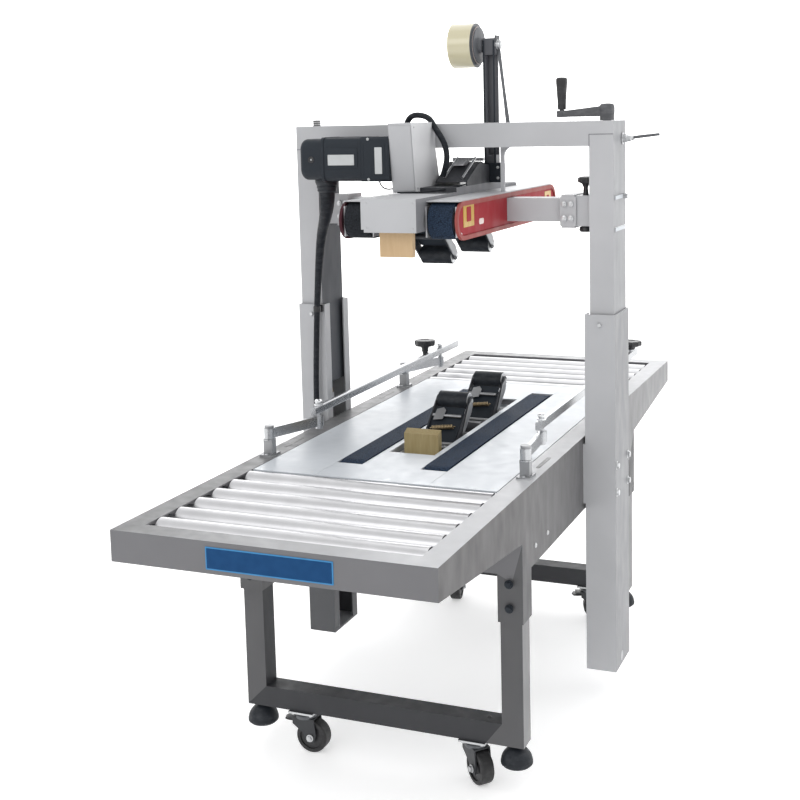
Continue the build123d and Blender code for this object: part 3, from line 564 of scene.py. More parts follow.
def shown(name, data):
    """An object of the data, in the scene."""
    obj = bpy.data.objects.new(name, data)
    bpy.context.collection.objects.link(obj)
    return obj


@contextmanager
def piece(name, material, body, bevel=0.0):
    """A mesh that its block builds, smoothed by angle and put on a body at the end."""
    bm = bmesh.new()
    yield bm
    bmesh.ops.remove_doubles(bm, verts=bm.verts, dist=1e-6)
    bmesh.ops.recalc_face_normals(bm, faces=bm.faces)
    mesh = bpy.data.meshes.new(name)
    bm.to_mesh(mesh)
    bm.free()
    mesh.materials.append(material)
    mesh.shade_smooth()
    mesh.set_sharp_from_angle(angle=math.radians(35))
    obj = shown(name, mesh)
    if bevel:
        round_edges(obj, bevel, 35)
    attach(obj, body)


def polar(radius, degrees):
    """A point on a circle about the origin."""
    angle = math.radians(degrees)
    return radius * math.cos(angle), radius * math.sin(angle)


def lathe(bm, profile, place, axis=Z, steps=32):
    """Turns a profile of (radius, height) in mm about an axis through place."""
    matrix = Matrix.Translation(place) @ turned(axis)
    rings = []
    for radius, height in profile:
        if radius < 0.01:
            rings.append([bm.verts.new(matrix @ Vector((0, 0, height * MM)))])
            continue
        ring = []
        for step in range(steps):
            point = Vector((*polar(radius, 360 * step / steps), height)) * MM
            ring.append(bm.verts.new(matrix @ point))
        rings.append(ring)
    for lower, upper in zip(rings, rings[1:]):
        for step in range(steps):
            after = (step + 1) % steps
            corners = [lower[step % len(lower)], lower[after % len(lower)]]
            corners += [upper[after % len(upper)], upper[step % len(upper)]]
            corners = list(dict.fromkeys(corners))
            if len(corners) > 2:
                bm.faces.new(corners)
    for ring in (rings[0], rings[-1]):
        if len(ring) > 2:
            bm.faces.new(ring)


def slab(bm, outline, place, across, up, thick):
    """A plate of an outline in mm along across and up from place, with its thickness along the third axis."""
    across, up = Vector(across).normalized(), Vector(up).normalized()
    out = across.cross(up)
    low = [bm.verts.new(place + (across * a + up * b) * MM) for a, b in outline]
    high = [bm.verts.new(place + (across * a + up * b + out * thick) * MM) for a, b in outline]
    bm.faces.new(list(reversed(low)))
    bm.faces.new(high)
    count = len(outline)
    for i in range(count):
        j = (i + 1) % count
        bm.faces.new((low[i], low[j], high[j], high[i]))


def rounded(width, height, radius, steps=5):
    """The outline of a rectangle with round corners about the origin, in mm."""
    points = []
    corners = ((1, 1, 0), (-1, 1, 90), (-1, -1, 180), (1, -1, 270))
    for sx, sy, start in corners:
        cx, cy = sx * (width / 2 - radius), sy * (height / 2 - radius)
        for step in range(steps + 1):
            dx, dy = polar(radius, start + 90 * step / steps)
            points.append((cx + dx, cy + dy))
    return points


def hexagon(across_flats):
    """The outline of a hexagon in mm."""
    return [polar(across_flats / math.sqrt(3), degrees) for degrees in range(0, 360, 60)]


def hex_bolt(bm, place, axis, size, head=None, washer=True):
    """A hexagon head with a chamfered crown on a washer, standing on place along axis."""
    head = head or size * 0.42
    start = 0.0
    if washer:
        lathe(bm, ((size * 0.78, 0), (size * 0.78, 0.9), (size * 0.72, 1.2), (0, 1.2)), place, axis, 24)
        start = 1.2
    matrix = turned(axis)
    across, up = matrix @ X, matrix @ Y
    slab(bm, hexagon(size), place + Vector(axis).normalized() * start * MM, across, up, head)
    crown = start + head
    lathe(bm, ((size * 0.5, crown - 0.1), (size * 0.44, crown + 0.5), (0, crown + 0.6)), place, axis, 24)


def socket_screw(bm, place, axis, radius, height):
    """A cap screw: round head with a rounded rim and a socket."""
    profile = ((radius, 0), (radius, height * 0.8), (radius * 0.88, height), (radius * 0.5, height))
    profile += ((radius * 0.5, height * 0.45), (0, height * 0.45))
    lathe(bm, profile, place, axis, 20)


def pan_screw(bm, place, axis, radius):
    """A low domed screw head with a turned recess."""
    profile = ((radius, 0), (radius * 0.96, radius * 0.25), (radius * 0.7, radius * 0.5))
    profile += ((radius * 0.3, radius * 0.58), (radius * 0.26, radius * 0.3), (0, radius * 0.3))
    lathe(bm, profile, place, axis, 20)


def tube(name, points, radii, material, order=3, around=4, along=6):
    """A round tube along points in metres, with its radius at each of them in mm."""
    curve = bpy.data.curves.new(name, "CURVE")
    curve.dimensions = "3D"
    curve.bevel_depth = MM
    curve.bevel_resolution = around
    curve.use_fill_caps = True
    spline = curve.splines.new("NURBS")
    spline.points.add(len(points) - 1)
    for control, point, radius in zip(spline.points, points, radii):
        control.co = (*point, 1)
        control.radius = radius
    spline.order_u = order
    spline.use_endpoint_u = True
    spline.resolution_u = along
    curve.materials.append(material)
    return shown(name, curve)


def wire(name, points, radius, material, body):
    """A tube of one radius that rides on a body."""
    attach(tube(name, points, [radius] * len(points), material), body)


def coil_spring(name, start, stop, radius, gauge, turns, material, body):
    """A close tension spring with a straight tail at each end."""
    tail, coil_start, per_turn = 3, 5, 10
    run = stop - start
    matrix = Matrix.Translation(start) @ turned(run)
    length = run.length / MM
    points = [Vector((0, 0, 0)), Vector((0, 0, tail))]
    steps = turns * per_turn
    for step in range(steps + 1):
        height = coil_start + (length - 2 * coil_start) * step / steps
        points.append(Vector((*polar(radius, 360 * step / per_turn), height)))
    points += [Vector((0, 0, length - tail)), Vector((0, 0, length))]
    wire(name, [matrix @ (p * MM) for p in points], gauge, material, body)


# -------------------- camera

SKY = 0.95
LAMPS = (
    ("top_light", (0.4, 1.2, 3.6), (0, 0.3, 0.6), (3.6, 3.6), 29),
    ("right_light", (3.4, 1.8, 2.0), (0, 0.3, 0.9), (2.0, 2.4), 21),
    ("front_light", (-1.0, -4.2, 3.2), (0, 0, 1.1), (2.6, 2.0), 33),
    ("back_light", (-2.0, 6.0, 4.2), (-3.4, 9.4, 2.2), (5.0, 3.0), 260),
)
CAMERA = at(1024.7, -2658.3, 1313.8)
YAW, PITCH, ROLL = math.radians(21.67), math.radians(7.37), math.radians(-1.22)
FOCAL, SENSOR = 57.4, 36.0
SHIFT = (-0.0504, -0.1451)


def make_camera():
    """A camera that looks along YAW and PITCH and is turned by ROLL about its own line of sight."""
    ahead = Vector((-math.sin(YAW) * math.cos(PITCH), math.cos(YAW) * math.cos(PITCH), -math.sin(PITCH)))
    right = Vector((math.cos(YAW), math.sin(YAW), 0))
    up = right.cross(ahead)
    tilted_right = right * math.cos(ROLL) + up * math.sin(ROLL)
    tilted_up = up * math.cos(ROLL) - right * math.sin(ROLL)
    data = bpy.data.cameras.new("camera")
    data.sensor_width = SENSOR
    data.lens = FOCAL
    data.shift_x, data.shift_y = SHIFT
    data.clip_end = 60
    obj = shown("camera", data)
    turn = Matrix((tilted_right, tilted_up, -ahead)).transposed().to_4x4()
    obj.matrix_world = Matrix.Translation(CAMERA) @ turn
    bpy.context.scene.camera = obj


make_camera()


# -------------------- bed


def blue_plate():
    """A plain name plate with a lighter rim on the front end of the bed."""
    place = at(4.5, BED_LO[1] / MM, 590.5)
    with piece("name_plate_rim", BLUE_RIM, "bed", bevel=0.2) as bm:
        slab(bm, rounded(239, 40, 1.5), place, X, Z, 1.0)
    with piece("name_plate", BLUE, "bed") as bm:
        slab(bm, rounded(234, 35, 1.0), place - Y * 0.9 * MM, X, Z, 0.4)


def bed_bolts():
    """Bolt heads on the clamps and columns, and screws on the side panels."""
    with piece("clamp_bolts", BLACK, "bed") as bm:
        for sx in (-1, 1):
            for sy in (-1, 1):
                for z in (441, 393):
                    hex_bolt(bm, at(sx * LEG_X, sy * 468, z), (0, sy, 0), 11, 4)
    with piece("panel_bolts", ZINC, "bed") as bm:
        for sx in (-1, 1):
            hex_bolt(bm, at(sx * 344.5, -31, 869), -Y, 8, 3, washer=False)
            for y in (-17, 85):
                for z in (500, 560):
                    hex_bolt(bm, at(sx * 378, y, z), (sx, 0, 0), 12, 4.5)
            for y in (-380, -300, 220, 300, 380):
                pan_screw(bm, at(sx * 306, y, 492), (sx, 0, 0), 5)


def embossed_marks():
    """A raised ring low on each column's outer face."""
    with piece("column_marks", GREY, "bed") as bm:
        for sx in (-1, 1):
            ring = ((11, 0), (11, 0.5), (9.6, 0.9), (8.2, 0.4), (0, 0.4))
            lathe(bm, ring, at(sx * 377.8, 26, 111), (sx, 0, 0), 36)


def roller_ends():
    """Black bearing caps in both ends of every roller."""
    cap = ((19.6, -2), (20.4, 0.2), (15, 0.9), (14, 0.2), (9.2, 0.2), (8.6, 1.4), (7, 1.4), (7, 0))
    for node in ROLLERS:
        centre = local(middle(node))
        with piece(f"{node}_caps", PLASTIC, node) as bm:
            for sx in (-1, 1):
                lathe(bm, cap, at(sx * 258.2, centre.y, centre.z), (sx, 0, 0), 32)


def table_screws():
    """Countersunk screws along the edges of the plates, flush with the table."""
    screw = ((3.6, -0.4), (3.6, 0.08), (1.5, 0.1), (1.3, -0.3), (0, -0.3))
    places = [(sx * x, y) for sx in (-1, 1) for x in (136, 246) for y in (-452, -150, 150, 452)]
    places += [(sx * 30, y) for sx in (-1, 1) for y in (-455, 455)]
    with piece("table_screws", ZINC, "bed") as bm:
        for x, y in places:
            lathe(bm, screw, at(x, y, TABLE), Z, 20)


def flange_slot_shade():
    """Dark sheets on the side flanges, as painted shade inside the slots where the guides' posts can be
    moved.
    """
    with piece("flange_slot_shade", PLASTIC, "bed") as bm:
        for sx in (-1, 1):
            for sy in (-1, 1):
                slab(bm, rounded(9, 84, 4.4), at(sx * 284, sy * 250, TABLE - 0.05), X, Y, 0.35)


def guide_posts():
    """Caps, collars and base screws of the guides' posts."""
    cap = ((9.6, 0), (9.6, 3.6), (8.4, 5), (4, 5), (4, 3), (0, 3))
    collar = ((11, 0), (12.5, 0.6), (12.5, 2.4), (11, 3))
    with piece("post_heads", RAIL, "bed") as bm:
        for sx in (-1, 1):
            for sy in (-1, 1):
                x, y = sx * POST_X, sy * POST_Y
                for dy in (-15, 15):
                    pan_screw(bm, at(x, y + dy, 624), Z, 4)
                lathe(bm, cap, at(x, y, 678.4), Z, 28)
                lathe(bm, collar, at(x, y, 652.5), Z, 28)


def column_insides():
    """Bronze lifting nuts with their flanges, inside the open columns."""
    with piece("lift_nuts", BRONZE, "bed") as bm:
        for sx in (-1, 1):
            hex_bolt(bm, at(sx * SCREW_X, SCREW_Y, 670), Z, 34, 9, washer=False)
            lathe(bm, ((9.6, 0), (20, 0), (20, 2), (9.6, 2)), at(sx * SCREW_X, SCREW_Y, 668), Z, 28)


def lower_head_details():
    """Cheeks, tongues, tape guides and rods of the lower tape head."""
    with piece("lower_tape_guides", ZINC, "bed", bevel=0.4) as bm:
        for y, z, r in ((-40, 555, 14), (-205, 500, 12), (245, 500, 12), (60, 570, 10)):
            lathe(bm, ((r, -34), (r, 34)), at(0, y, z), X, 28)
            for start in (-36, 34):
                lathe(bm, ((r + 3, start), (r + 3, start + 2)), at(0, y, z), X, 28)
    with piece("lower_cheeks", DARK_STEEL, "bed", bevel=0.6) as bm:
        cheek = ((-66, -20), (-40, 26), (10, 44), (96, 30), (130, -20), (96, -34), (0, -14))
        for sx in (-1, 1):
            slab(bm, cheek, at(sx * 50 - 1.5, 40, 575), Y, Z, 3)
    with piece("lower_tie_rods", BRIGHT, "bed") as bm:
        for y in (-66, 16, 94, 150):
            lathe(bm, ((4, -43), (4, 43)), at(0, y, 560), X, 20)
            for sx in (-1, 1):
                lathe(bm, ((8, -2), (9, 0), (9, 3), (8, 4)), at(sx * 38, y, 560), (sx, 0, 0), 20)
    with piece("lower_tongues", GREY, "bed", bevel=0.5) as bm:
        tongue = ((0, -12), (26, -12), (33, -2), (33, 12), (0, 12))
        for y in (-152, 86):
            slab(bm, tongue, at(-22, y, 612), Z + Y * 0.35, X, 2)


blue_plate()
bed_bolts()
embossed_marks()
roller_ends()
table_screws()
flange_slot_shade()
guide_posts()
column_insides()
lower_head_details()


# -------------------- legs and casters


def leg_details():
    """Ribbed skirts and lock nuts of the feet, caster bolts and tube plugs on both leg frames."""
    skirt = ((27.4, 65.8), (31.3, 69.6), (31.7, 71), (31.2, 72.2), (31.7, 73.4), (31.2, 74.6))
    skirt += ((31.6, 76), (30, 79))
    plug = ((5, 0), (5, 0.4), (3.6, 0.5), (3.4, -0.6), (0, -0.6))
    for body, sy in (("front_legs", -1), ("rear_legs", 1)):
        with piece(f"{body}_skirts", RUBBER, body) as bm:
            for sx in (-1, 1):
                lathe(bm, skirt, at(sx * LEG_X, sy * LEG_Y, 0), Z, 48)
                hex_bolt(bm, at(sx * LEG_X, sy * LEG_Y, 103), Z, 17, 5.5, washer=False)
        with piece(f"{body}_nuts", ZINC, body) as bm:
            for sx in (-1, 1):
                for dx in (-20, 20):
                    for dy in (-20, 20):
                        hex_bolt(bm, at(CASTER_X[sx] + dx, sy * LEG_Y + dy, 106), -Z, 7, 2.6)
        with piece(f"{body}_plugs", PLASTIC, body) as bm:
            for x in (-150, 225):
                lathe(bm, plug, at(x, sy * LEG_Y, 153.8), Z, 20)


def caster_details():
    """Hubs, axle nuts, swivel races and brake pedals."""
    cap = ((24.5, 10.2), (24, 11.4), (21, 11.2), (12, 11.2), (10.5, 13.6), (6, 14), (5.4, 13))
    race = ((20, -15), (22.6, -13.6), (23.4, -10), (22.6, -7), (20, -6))
    pedal = ((22, -13), (34, -14), (44, -12), (48, 0), (44, 12), (34, 14), (22, 13))
    for place in CORNERS:
        centre, axle = joint(f"wheel_spin_{place}")
        with piece(f"hub_{place}", PLASTIC, f"wheel_{place}") as bm:
            for sign in (-1, 1):
                lathe(bm, cap, centre, axle * sign, 40)
        with piece(f"axle_nuts_{place}", ZINC, f"caster_{place}") as bm:
            for sign in (-1, 1):
                hex_bolt(bm, centre + axle * sign * 19.5 * MM, axle * sign, 10, 4)
        pivot, _ = joint(f"swivel_{place}")
        with piece(f"race_{place}", DARK_STEEL, f"caster_{place}") as bm:
            lathe(bm, race, pivot, Z, 40)
        back = pivot - centre
        back.z = 0
        top = Vector((pivot.x, pivot.y, (86.8 - FLOOR) * MM))
        with piece(f"pedal_{place}", PLASTIC, f"caster_{place}", bevel=1.2) as bm:
            slab(bm, pedal, top, back, Z.cross(back), -4)


leg_details()
caster_details()


# -------------------- gantry and upper head


def motor_details():
    """Seams, ribs, blank name plates, screws, end cap plug and the conduit's boot of the drive motor."""
    x, y, z = MOTOR_X, MOTOR_Y, MOTOR_Z
    front = y - 48
    gearbox_x, cap_x = x + 89, x - 74
    with piece("motor_seams", BLACK, "gantry", bevel=0.5) as bm:
        for seam, thick in ((-243, 3), (-240, 4), (-151, 4), (-143, 3), (-88, 5)):
            slab(bm, rounded(97, 97, 14, 6), at(seam, y, z), Y, Z, thick)
        for edge in (-1, 1):
            for dy in (-18, -6, 6, 18):
                slab(bm, rounded(80, 4, 1.9), at(x, y + dy, z + edge * 47), X, Y, 1.2 * edge)
    with piece("motor_panels", BLACK, "gantry", bevel=0.6) as bm:
        slab(bm, rounded(78, 46, 4), at(x, front + 1.2, z + 3), X, Z, 1.4)
        slab(bm, rounded(30, 70, 4), at(gearbox_x, front + 0.4, z), X, Z, 1.0)
    with piece("motor_plates", PLATE, "gantry", bevel=0.3) as bm:
        slab(bm, rounded(63, 23, 1.5), at(x, front - 0.2, z - 1), X, Z, 1.2)
        slab(bm, rounded(17, 57, 1.5), at(gearbox_x, front - 0.6, z - 3), X, Z, 1.2)
    with piece("motor_screws", PLATE, "gantry") as bm:
        for dx, dz in ((-28, 8), (28, 8), (-28, -8), (28, -8)):
            pan_screw(bm, at(x + dx, front - 1.4, z - 1 + dz), -Y, 1.4)
        for dz in (-43, 43):
            socket_screw(bm, at(-129, front, z + dz), -Y, 3.0, 2.0)
        pan_screw(bm, at(cap_x, front + 3, z), -Y, 2.4)
    with piece("motor_cap_plug", PLASTIC, "gantry") as bm:
        lathe(bm, ((7, 0), (7, 0.8), (5, 1.2), (4.4, 0.4), (0, 0.4)), at(cap_x, front + 2.6, z), -Y, 28)
    with piece("motor_boot", RUBBER, "gantry") as bm:
        boot = ((24, 8), (26, 2), (26, -2), (23.5, -9), (22, -11))
        boot += ((23, -14), (21, -18), (21.6, -22), (18, -26))
        lathe(bm, boot, at(-254, y, 1183), Z, 40)


def housing_details():
    """Lid seam and screws of the chain housing."""
    with piece("housing_lid", GREY, "gantry", bevel=0.4) as bm:
        slab(bm, rounded(50, 140, 2), at(-54, -151.4, 1232), X, Z + Y * -0.127, 0.7)
    with piece("housing_screws", ZINC, "gantry") as bm:
        for y, z in ((-146, 1298), (-36, 1298), (-130, 1168), (-14, 1168)):
            pan_screw(bm, at(-27, y, z), X, 2.4)


def head_details():
    """Dark top of the head with its sloping plates, rods, bracket and front screws."""
    with piece("head_top", HEAD_DARK, "gantry", bevel=0.3) as bm:
        slab(bm, rounded(110, 452, 3), at(0, 62, 1158.1), X, Y, 0.8)
    with piece("head_deck", HEAD_DARK, "gantry", bevel=0.5) as bm:
        wall = ((-52, 0), (-52, 10), (10, 40), (40, 50), (66, 44), (95, 40), (95, 0))
        slope = ((-52, 8), (10, 38), (40, 48), (40, 50), (10, 40), (-52, 10))
        back = ((46, 46), (66, 42), (95, 38), (95, 40), (66, 44), (46, 48))
        for outline, x, thick in ((wall, 57, 3), (wall, -14, 3), (slope, 57, 74), (back, 57, 74)):
            slab(bm, outline, at(x, 0, 1168), Y, Z, -thick)
    with piece("deck_bracket", GREY, "gantry", bevel=0.6) as bm:
        slab(bm, ((-14, 0), (30, 0), (30, 12), (22, 16), (-14, 3)), at(30, 8, 1210), Y, Z, -22)
    with piece("head_rods", BRIGHT, "gantry") as bm:
        for x in (2, 44):
            lathe(bm, ((3, 0), (3, 96)), at(x, -48, 1184), Y + Z * 0.48, 20)
        lathe(bm, ((4, -46), (4, 28)), at(28, 60, 1222), X, 24)
    with piece("head_screws", GREY, "gantry") as bm:
        for sx in (-1, 1):
            for z in (1150, 1100):
                pan_screw(bm, at(sx * 50, -345, z), -Y, 1.8)


def bracket_details():
    """Bolts, clamp knobs and slots where the head's arms meet the columns, and the lock rod above."""
    knob_x, knob_y, knob_z = 303, 20, 1141
    knob = ((7, 0), (6, 8), (5, 20), (8, 27), (15, 32), (17, 37), (15, 42), (7, 44), (0, 44))
    flute = ((3, 30), (5, 33), (5, 39), (3, 42))
    with piece("bracket_bolts", ZINC, "gantry") as bm:
        for sx in (-1, 1):
            for x, z in ((261, 1096), (276, 1096), (261, 1126), (276, 1126)):
                hex_bolt(bm, at(sx * x, -6.8, z), -Y, 7.5, 2.4)
    with piece("bracket_plate", GREY, "gantry", bevel=0.4) as bm:
        slab(bm, rounded(36, 64, 3), at(269, -2, 1110), X, Z, 1.2)
    with piece("clamp_knobs", PLASTIC, "gantry") as bm:
        lathe(bm, knob, at(knob_x, knob_y, knob_z), Z, 36)
        for step in range(6):
            dx, dy = polar(13, 60 * step)
            lathe(bm, flute, at(knob_x + dx, knob_y + dy, knob_z), Z, 14)
        lathe(bm, ((5, 0), (13, -3), (14, -9), (12, -13), (0, -13)), at(302, 20, 1078), Z, 32)
    with piece("column_slots", WHITE, "gantry", bevel=0.2) as bm:
        for z in (1140, 1072):
            slab(bm, rounded(90, 8, 3.8), at(COLUMN_FACE + 0.2, SCREW_Y, z), Y, Z, 0.8)
    with piece("lock_nuts", ZINC, "gantry") as bm:
        hex_bolt(bm, at(COLUMN_FACE + 1, LOCK_Y, 1140), X, 11, 8, washer=False)
        hex_bolt(bm, at(COLUMN_FACE, LOCK_Y, LOCK_Z), X, 17, 8)
        lathe(bm, ((7, 0), (7, 8), (5, 10), (5, 14)), at(COLUMN_FACE + 10, LOCK_Y, LOCK_Z), X, 28)
    rise = math.radians(6)
    lean = X * math.cos(rise) + Z * math.sin(rise)
    with piece("lock_rod", IRON, "gantry") as bm:
        lathe(bm, ((4.2, 0), (3.4, 8), (3.2, 52), (2.6, 62), (0, 63)), at(391, LOCK_Y, LOCK_Z + 1), lean, 24)


def beam_details():
    """Weld seams where the beam meets the columns, and the nut on the left screw."""
    with piece("weld_seams", SHADE_GREY, "gantry") as bm:
        for x, z, wide, high in ((347.5, 1275, 53, 1.6), (321.4, 1262.5, 1.6, 26), (-347.5, 1250, 53, 1.6)):
            slab(bm, rounded(wide, high, 0.7), at(x, -20.2, z), X, Z, 0.5)
    with piece("left_screw_nut", ZINC, "left_screw") as bm:
        hex_bolt(bm, at(-SCREW_X, SCREW_Y, SCREW_TOP), Z, 14, 11, washer=False)


def cover_details():
    """Plain labels, marks and screws on the red belt covers."""
    labels = ((-236, 1121.5, (62, 51), (26, 30)), (318, 1114, (50, 42), (20, 24)))
    for sx, side in ((-1, "left"), (1, "right")):
        face = sx * 127.0
        proud = sx * 0.5
        along = Y * sx
        with piece(f"cover_label_{side}", YELLOW, "gantry") as bm:
            for y, z, (wide, high), _ in labels:
                slab(bm, rounded(wide, high, 2), at(face, y, z), along, Z, 0.7)
        with piece(f"cover_label_inner_{side}", RED, "gantry") as bm:
            for y, z, _, (wide, high) in labels:
                slab(bm, rounded(wide, high, 3), at(face + proud, y, z), along, Z, 0.5)
        with piece(f"cover_mark_{side}", PALE, "gantry") as bm:
            slab(bm, rounded(28, 12, 5.5), at(face, -160, 1101), along, Z, 0.6)
        with piece(f"cover_screws_{side}", ZINC, "gantry") as bm:
            for y in (-280, 350):
                pan_screw(bm, at(face, y, 1084), X * sx, 3.2)


def mast_details():
    """Foot, flanges, hub and stay rod of the tape mast."""
    with piece("mast_foot", BLACK, "gantry", bevel=0.8) as bm:
        slab(bm, rounded(50, 44, 3), at(61, 94, 1190), X, Z, -30)
        for x in (46, 70):
            slab(bm, rounded(4, 290, 1.5), at(x, 99.4, 1342), X, Z, 1.4)
    with piece("mast_bolts", ZINC, "gantry") as bm:
        for x in (44, 78):
            for z in (1178, 1202):
                hex_bolt(bm, at(x, 93.8, z), -Y, 6, 2.6, washer=False)
        hex_bolt(bm, at(77, TAPE_Y, TAPE_Z), X, 15, 7)
    top, foot = at(79, 112, 1463), at(106, 92, 1290)
    run = foot - top
    length = run.length / MM
    half = length / 2
    bar = ((-4, -3), (0, -4), (half, -3.4), (length, -5), (length, 5), (half, 3.4), (0, 4), (-4, 3))
    with piece("mast_stay", DARK_STEEL, "gantry", bevel=0.6) as bm:
        slab(bm, bar, top, run, X - run * (X.dot(run) / run.length_squared), 3)
    with piece("tape_hub", DARK_STEEL, "upper_tape") as bm:
        hub = ((40, 0), (41, 1.2), (41, 3), (36, 4), (22, 2.6), (18, 3), (16, 10), (12, 11.5), (7, 11.5))
        lathe(bm, hub, at(31.2, TAPE_Y, TAPE_Z), X, 48)


def crank_details():
    """Domed hub cap and end button of the crank, and the skin of its grip."""
    with piece("crank_hub", IRON, "crank") as bm:
        cap = ((16, 13), (16.6, 17), (16.6, 27), (15.5, 32), (12, 35.2), (6, 36.2), (0, 36.4))
        lathe(bm, cap, at(SCREW_X, SCREW_Y, SCREW_TOP), Z, 36)
        lathe(bm, ((11, 8.6), (11.6, 10), (11.6, 21), (10, 23)), at(HANDLE_X, SCREW_Y, 1303), Z, 30)
    with piece("grip_skin", PLASTIC, "grip") as bm:
        grip = ((8.6, 0), (9.2, 2), (9.8, 22), (11.4, 44), (12.6, 60), (12.4, 66), (10, 69))
        grip += ((4, 69.6), (0, 69))
        lathe(bm, grip, at(HANDLE_X, SCREW_Y, 1328), Z, 36)


motor_details()
housing_details()
head_details()
bracket_details()
beam_details()
cover_details()
mast_details()
crank_details()


# -------------------- tape heads and guides


def arm_webs():
    """Webs, cheeks, pins, levers and a spring on each pair of swinging arms."""
    cheek = ((-16, -13), (40, -15), (104, -8), (112, 0), (104, 8), (40, 15), (-10, 13))
    hub = ((-34, -9), (-6, -12), (10, 0), (-6, 12), (-30, 9))
    lever = ((52, -10), (96, -12), (126, -13), (140, -8), (144, 0), (140, 8), (126, 12), (104, 8), (60, -2))
    catch = ((76, -29), (106, -27), (112, -12), (104, -5), (80, -7))
    for head in HEADS:
        body = f"{head}_arm"
        foot, _ = joint(f"{head}_arm_swing")
        tip, _ = joint(f"{head}_press_roller_spin")
        along = (tip - foot).normalized()
        flat = X.cross(along)

        def spot(across, reach, lift):
            """A point on the arm in metres, from mm across it, along it and square to both."""
            return foot + (X * across + along * reach + flat * lift) * MM

        with piece(f"{head}_web", BLACK, body, bevel=0.8) as bm:
            slab(bm, rounded(70, 98, 6), spot(0, 71, 5), X, along, 3)
            for sx in (-1, 1):
                slab(bm, cheek, spot(sx * 36 - 1, 0, 0), along, flat, 2)
                slab(bm, hub, spot(sx * 30 - 2, 0, 0), along, flat, 4)
        with piece(f"{head}_pins", ARM_STEEL, body) as bm:
            for reach in (16, 92):
                lathe(bm, ((4, -34), (4, 34)), spot(0, reach, 12), X, 20)
        with piece(f"{head}_levers", ARM_STEEL, body, bevel=0.6) as bm:
            slab(bm, lever, spot(41.5, 0, 0), along, flat, 2)
            slab(bm, catch, spot(0, 0, 17), along, X, 3)
        coil_spring(f"{head}_spring", spot(-30, 54, 15), spot(28, 62, 15), 4.4, 1.3, 14, BRONZE, body)


def press_roller_details():
    """Bright end discs on the pressing rollers and nuts on their axles."""
    disc = ((17.6, -0.4), (18, 0.2), (17.4, 0.7), (9, 0.5), (8, 1.3), (5.4, 1.3))
    for head in HEADS:
        centre, _ = joint(f"{head}_press_roller_spin")
        with piece(f"{head}_roller_ends", ZINC, f"{head}_press_roller") as bm:
            for sx in (-1, 1):
                lathe(bm, disc, centre + X * sx * 35.4 * MM, (sx, 0, 0), 36)
        with piece(f"{head}_axle_nuts", ZINC, f"{head}_arm") as bm:
            for sx in (-1, 1):
                hex_bolt(bm, centre + X * sx * 41 * MM, (sx, 0, 0), 9, 1.6, washer=False)


def knob_details():
    """Fluted clamping knobs and domed bolt heads on the side guides."""
    knobs = (
        ("left", "left_rear_link", "left_rear_guide_link", 701),
        ("right", "right_rail", "right_guide_rail", 703),
    )
    bolt = ((8, -2), (8, 0), (7.4, 2.2), (5, 3.8), (2, 4.2), (0, 4.2))
    for side, body, node, seat in knobs:
        mesh = NODES[node].data
        corners = [mesh.vertices[i].co for face in mesh.polygons for i in face.vertices]
        top = max(c.z for c in corners)
        ring = [c for c in corners if c.z > top - 0.002]
        centre = sum(ring, Vector()) / len(ring)
        low = seat - (top / MM + FLOOR)
        knob = ((9, low), (9, -22), (12, -16), (24, -12), (26.4, -8), (26.4, -3), (23, 0.6))
        knob += ((12, 1.4), (10, 0), (0, 0))
        with piece(f"{side}_knob", PLASTIC, body) as bm:
            lathe(bm, knob, centre, Z, 40)
            for step in range(10):
                rim = centre + Vector((*polar(24.4, 36 * step), 0)) * MM
                lathe(bm, ((3, -11), (3.6, -9), (3.6, -2), (2.4, 0)), rim, Z, 12)
    for side in ("left", "right"):
        pivot, _ = joint(f"{side}_rail_turn")
        with piece(f"{side}_rail_bolts", BRIGHT, f"{side}_rail") as bm:
            for dy in (0, 2 * POST_Y):
                place = Vector((pivot.x, pivot.y + dy * MM, (710.8 - FLOOR) * MM))
                lathe(bm, bolt, place, Z, 28)
                lathe(bm, ((9.5, -9), (9.5, -6.4), (7, -6)), place, Z, 28)


arm_webs()
press_roller_details()
knob_details()


# -------------------- cables


def motor_conduit():
    """The motor's conduit: one tube that tapers from the gearbox to the bed and flexes between them."""
    route = ((-254, -110, 1183, 19), (-254, -110, 1150, 18), (-257, -106, 1118, 15), (-290, -66, 1072, 12))
    route += ((-306, -48, 1040, 10.5), (-318, -42, 960, 8), (-324, -42, 883, 6.8), (-330, -42, 780, 6.5))
    route += ((-333, -43, 690, 6.5), (-333, -43, 640, 6.5), (-333, -43, 612, 6.5))
    points = [at(x, y, z) for x, y, z, _ in route]
    made = tube("conduit_route", points, [radius for *_, radius in route], CABLE, 4, 6, 8)
    bpy.context.view_layer.update()
    mesh = bpy.data.meshes.new_from_object(made.evaluated_get(bpy.context.evaluated_depsgraph_get()))
    bpy.data.objects.remove(made)
    mesh.shade_smooth()
    conduit = shown("motor_conduit", mesh)
    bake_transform(conduit)
    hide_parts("conduit")


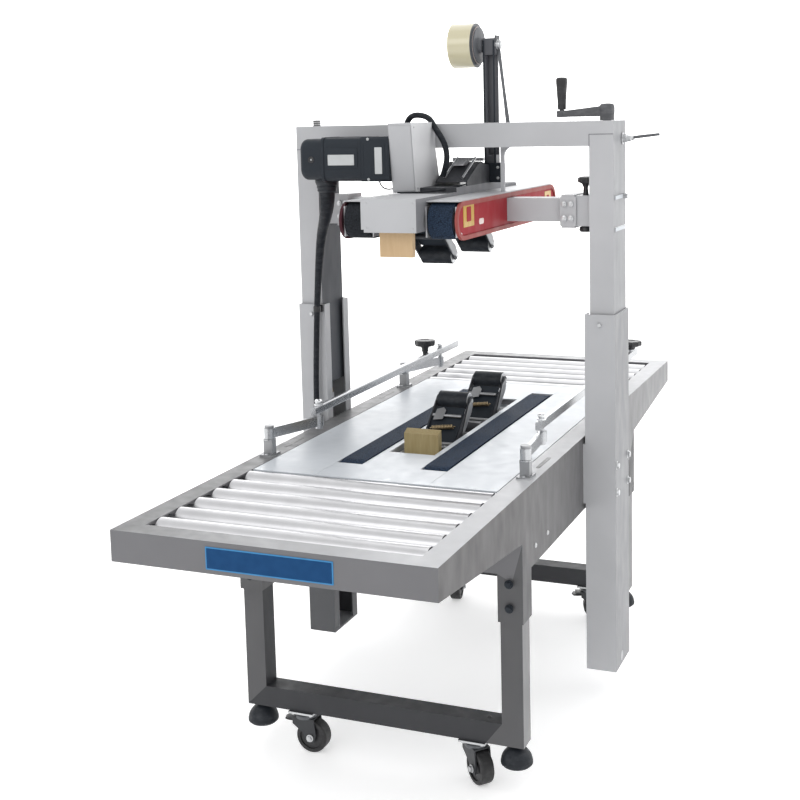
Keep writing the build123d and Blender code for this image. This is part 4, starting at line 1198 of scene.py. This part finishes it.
def cables():
    """The head's cable, the thin wires of the motor, and the conduit's clip and gland."""
    head = ((-104, -4, 1300), (-98, -6, 1316), (-80, -12, 1324), (-56, -20, 1322), (-36, -30, 1315))
    head += ((-20, -40, 1294), (2, -50, 1268), (12, -54, 1242), (12, -56, 1218), (0, -50, 1190))
    wire("head_cable", [at(*point) for point in head], 6.5, CABLE, "gantry")
    short = ((-126, -110, 1184), (-122, -114, 1172), (-106, -118, 1164), (-86, -120, 1166), (-78, -120, 1168))
    long = ((-60, -164, 1160), (-20, -160, 1160), (20, -128, 1162), (46, -104, 1168), (56, -60, 1172))
    for name, route in (("motor_wire", short), ("head_wire", long)):
        wire(name, [at(*point) for point in route], 1.6, CABLE, "gantry")
    with piece("conduit_clip", PLASTIC, "bed", bevel=0.5) as bm:
        lathe(bm, ((7.2, -7), (9, -6), (9, 6), (7.2, 7)), at(-323.5, -42, 883), Z, 28)
        slab(bm, rounded(20, 16, 2), at(-323.5, -28.4, 883), X, Z, 6)
    with piece("conduit_gland", PLASTIC, "bed") as bm:
        lathe(bm, ((14, 0), (14, 5), (11.5, 6), (11.5, 12), (8, 17), (7, 24)), at(-333, -43, 611.5), Z, 36)


motor_conduit()
cables()


# -------------------- studio


def studio():
    """A white floor that curves up behind, an even sky and the soft area lights."""
    floor = Nodes("floor")
    floor.color(floor.ramp(floor.noise(2.0, 2), ((0.3, (0.90, 0.90, 0.90)), (0.7, (0.92, 0.92, 0.92)))))
    floor.shader.inputs["Emission Color"].default_value = (1, 1, 1, 1)
    floor.shader.inputs["Emission Strength"].default_value = 0.35
    floor.rough(floor.span(floor.noise(6.0, 3), 0.7, 0.85))
    bm = bmesh.new()
    near, far, bend, wall_top, half_width, steps = -9.0, 5.0, 4.0, 14.0, 14, 12
    profile = [(near, 0.0), (far, 0.0)]
    for step in range(1, steps + 1):
        angle = math.radians(90 * step / steps)
        profile.append((far + bend * math.sin(angle), bend - bend * math.cos(angle)))
    profile.append((far + bend, wall_top))
    rows = []
    for along, height in profile:
        back = Vector((-math.sin(YAW), math.cos(YAW), 0)) * along + Z * height
        side = Vector((math.cos(YAW), math.sin(YAW), 0)) * half_width
        rows.append((bm.verts.new(back - side), bm.verts.new(back + side)))
    for lower, upper in zip(rows, rows[1:]):
        bm.faces.new((lower[0], lower[1], upper[1], upper[0]))
    mesh = bpy.data.meshes.new("floor")
    bm.to_mesh(mesh)
    bm.free()
    mesh.materials.append(floor.material)
    mesh.shade_smooth()
    shown("floor", mesh)

    world = bpy.data.worlds.new("world")
    bpy.context.scene.world = world
    world.use_nodes = True
    sky = world.node_tree.nodes["Background"].inputs
    sky["Color"].default_value = (1, 1, 1, 1)
    sky["Strength"].default_value = SKY

    for name, place, aim, size, power in LAMPS:
        data = bpy.data.lights.new(name, "AREA")
        data.shape = "RECTANGLE"
        data.size, data.size_y = size
        data.energy = power
        lamp = shown(name, data)
        lamp.matrix_world = Matrix.Translation(place) @ turned(Vector(place) - Vector(aim))
    bpy.context.scene.view_settings.view_transform = "Standard"


studio()
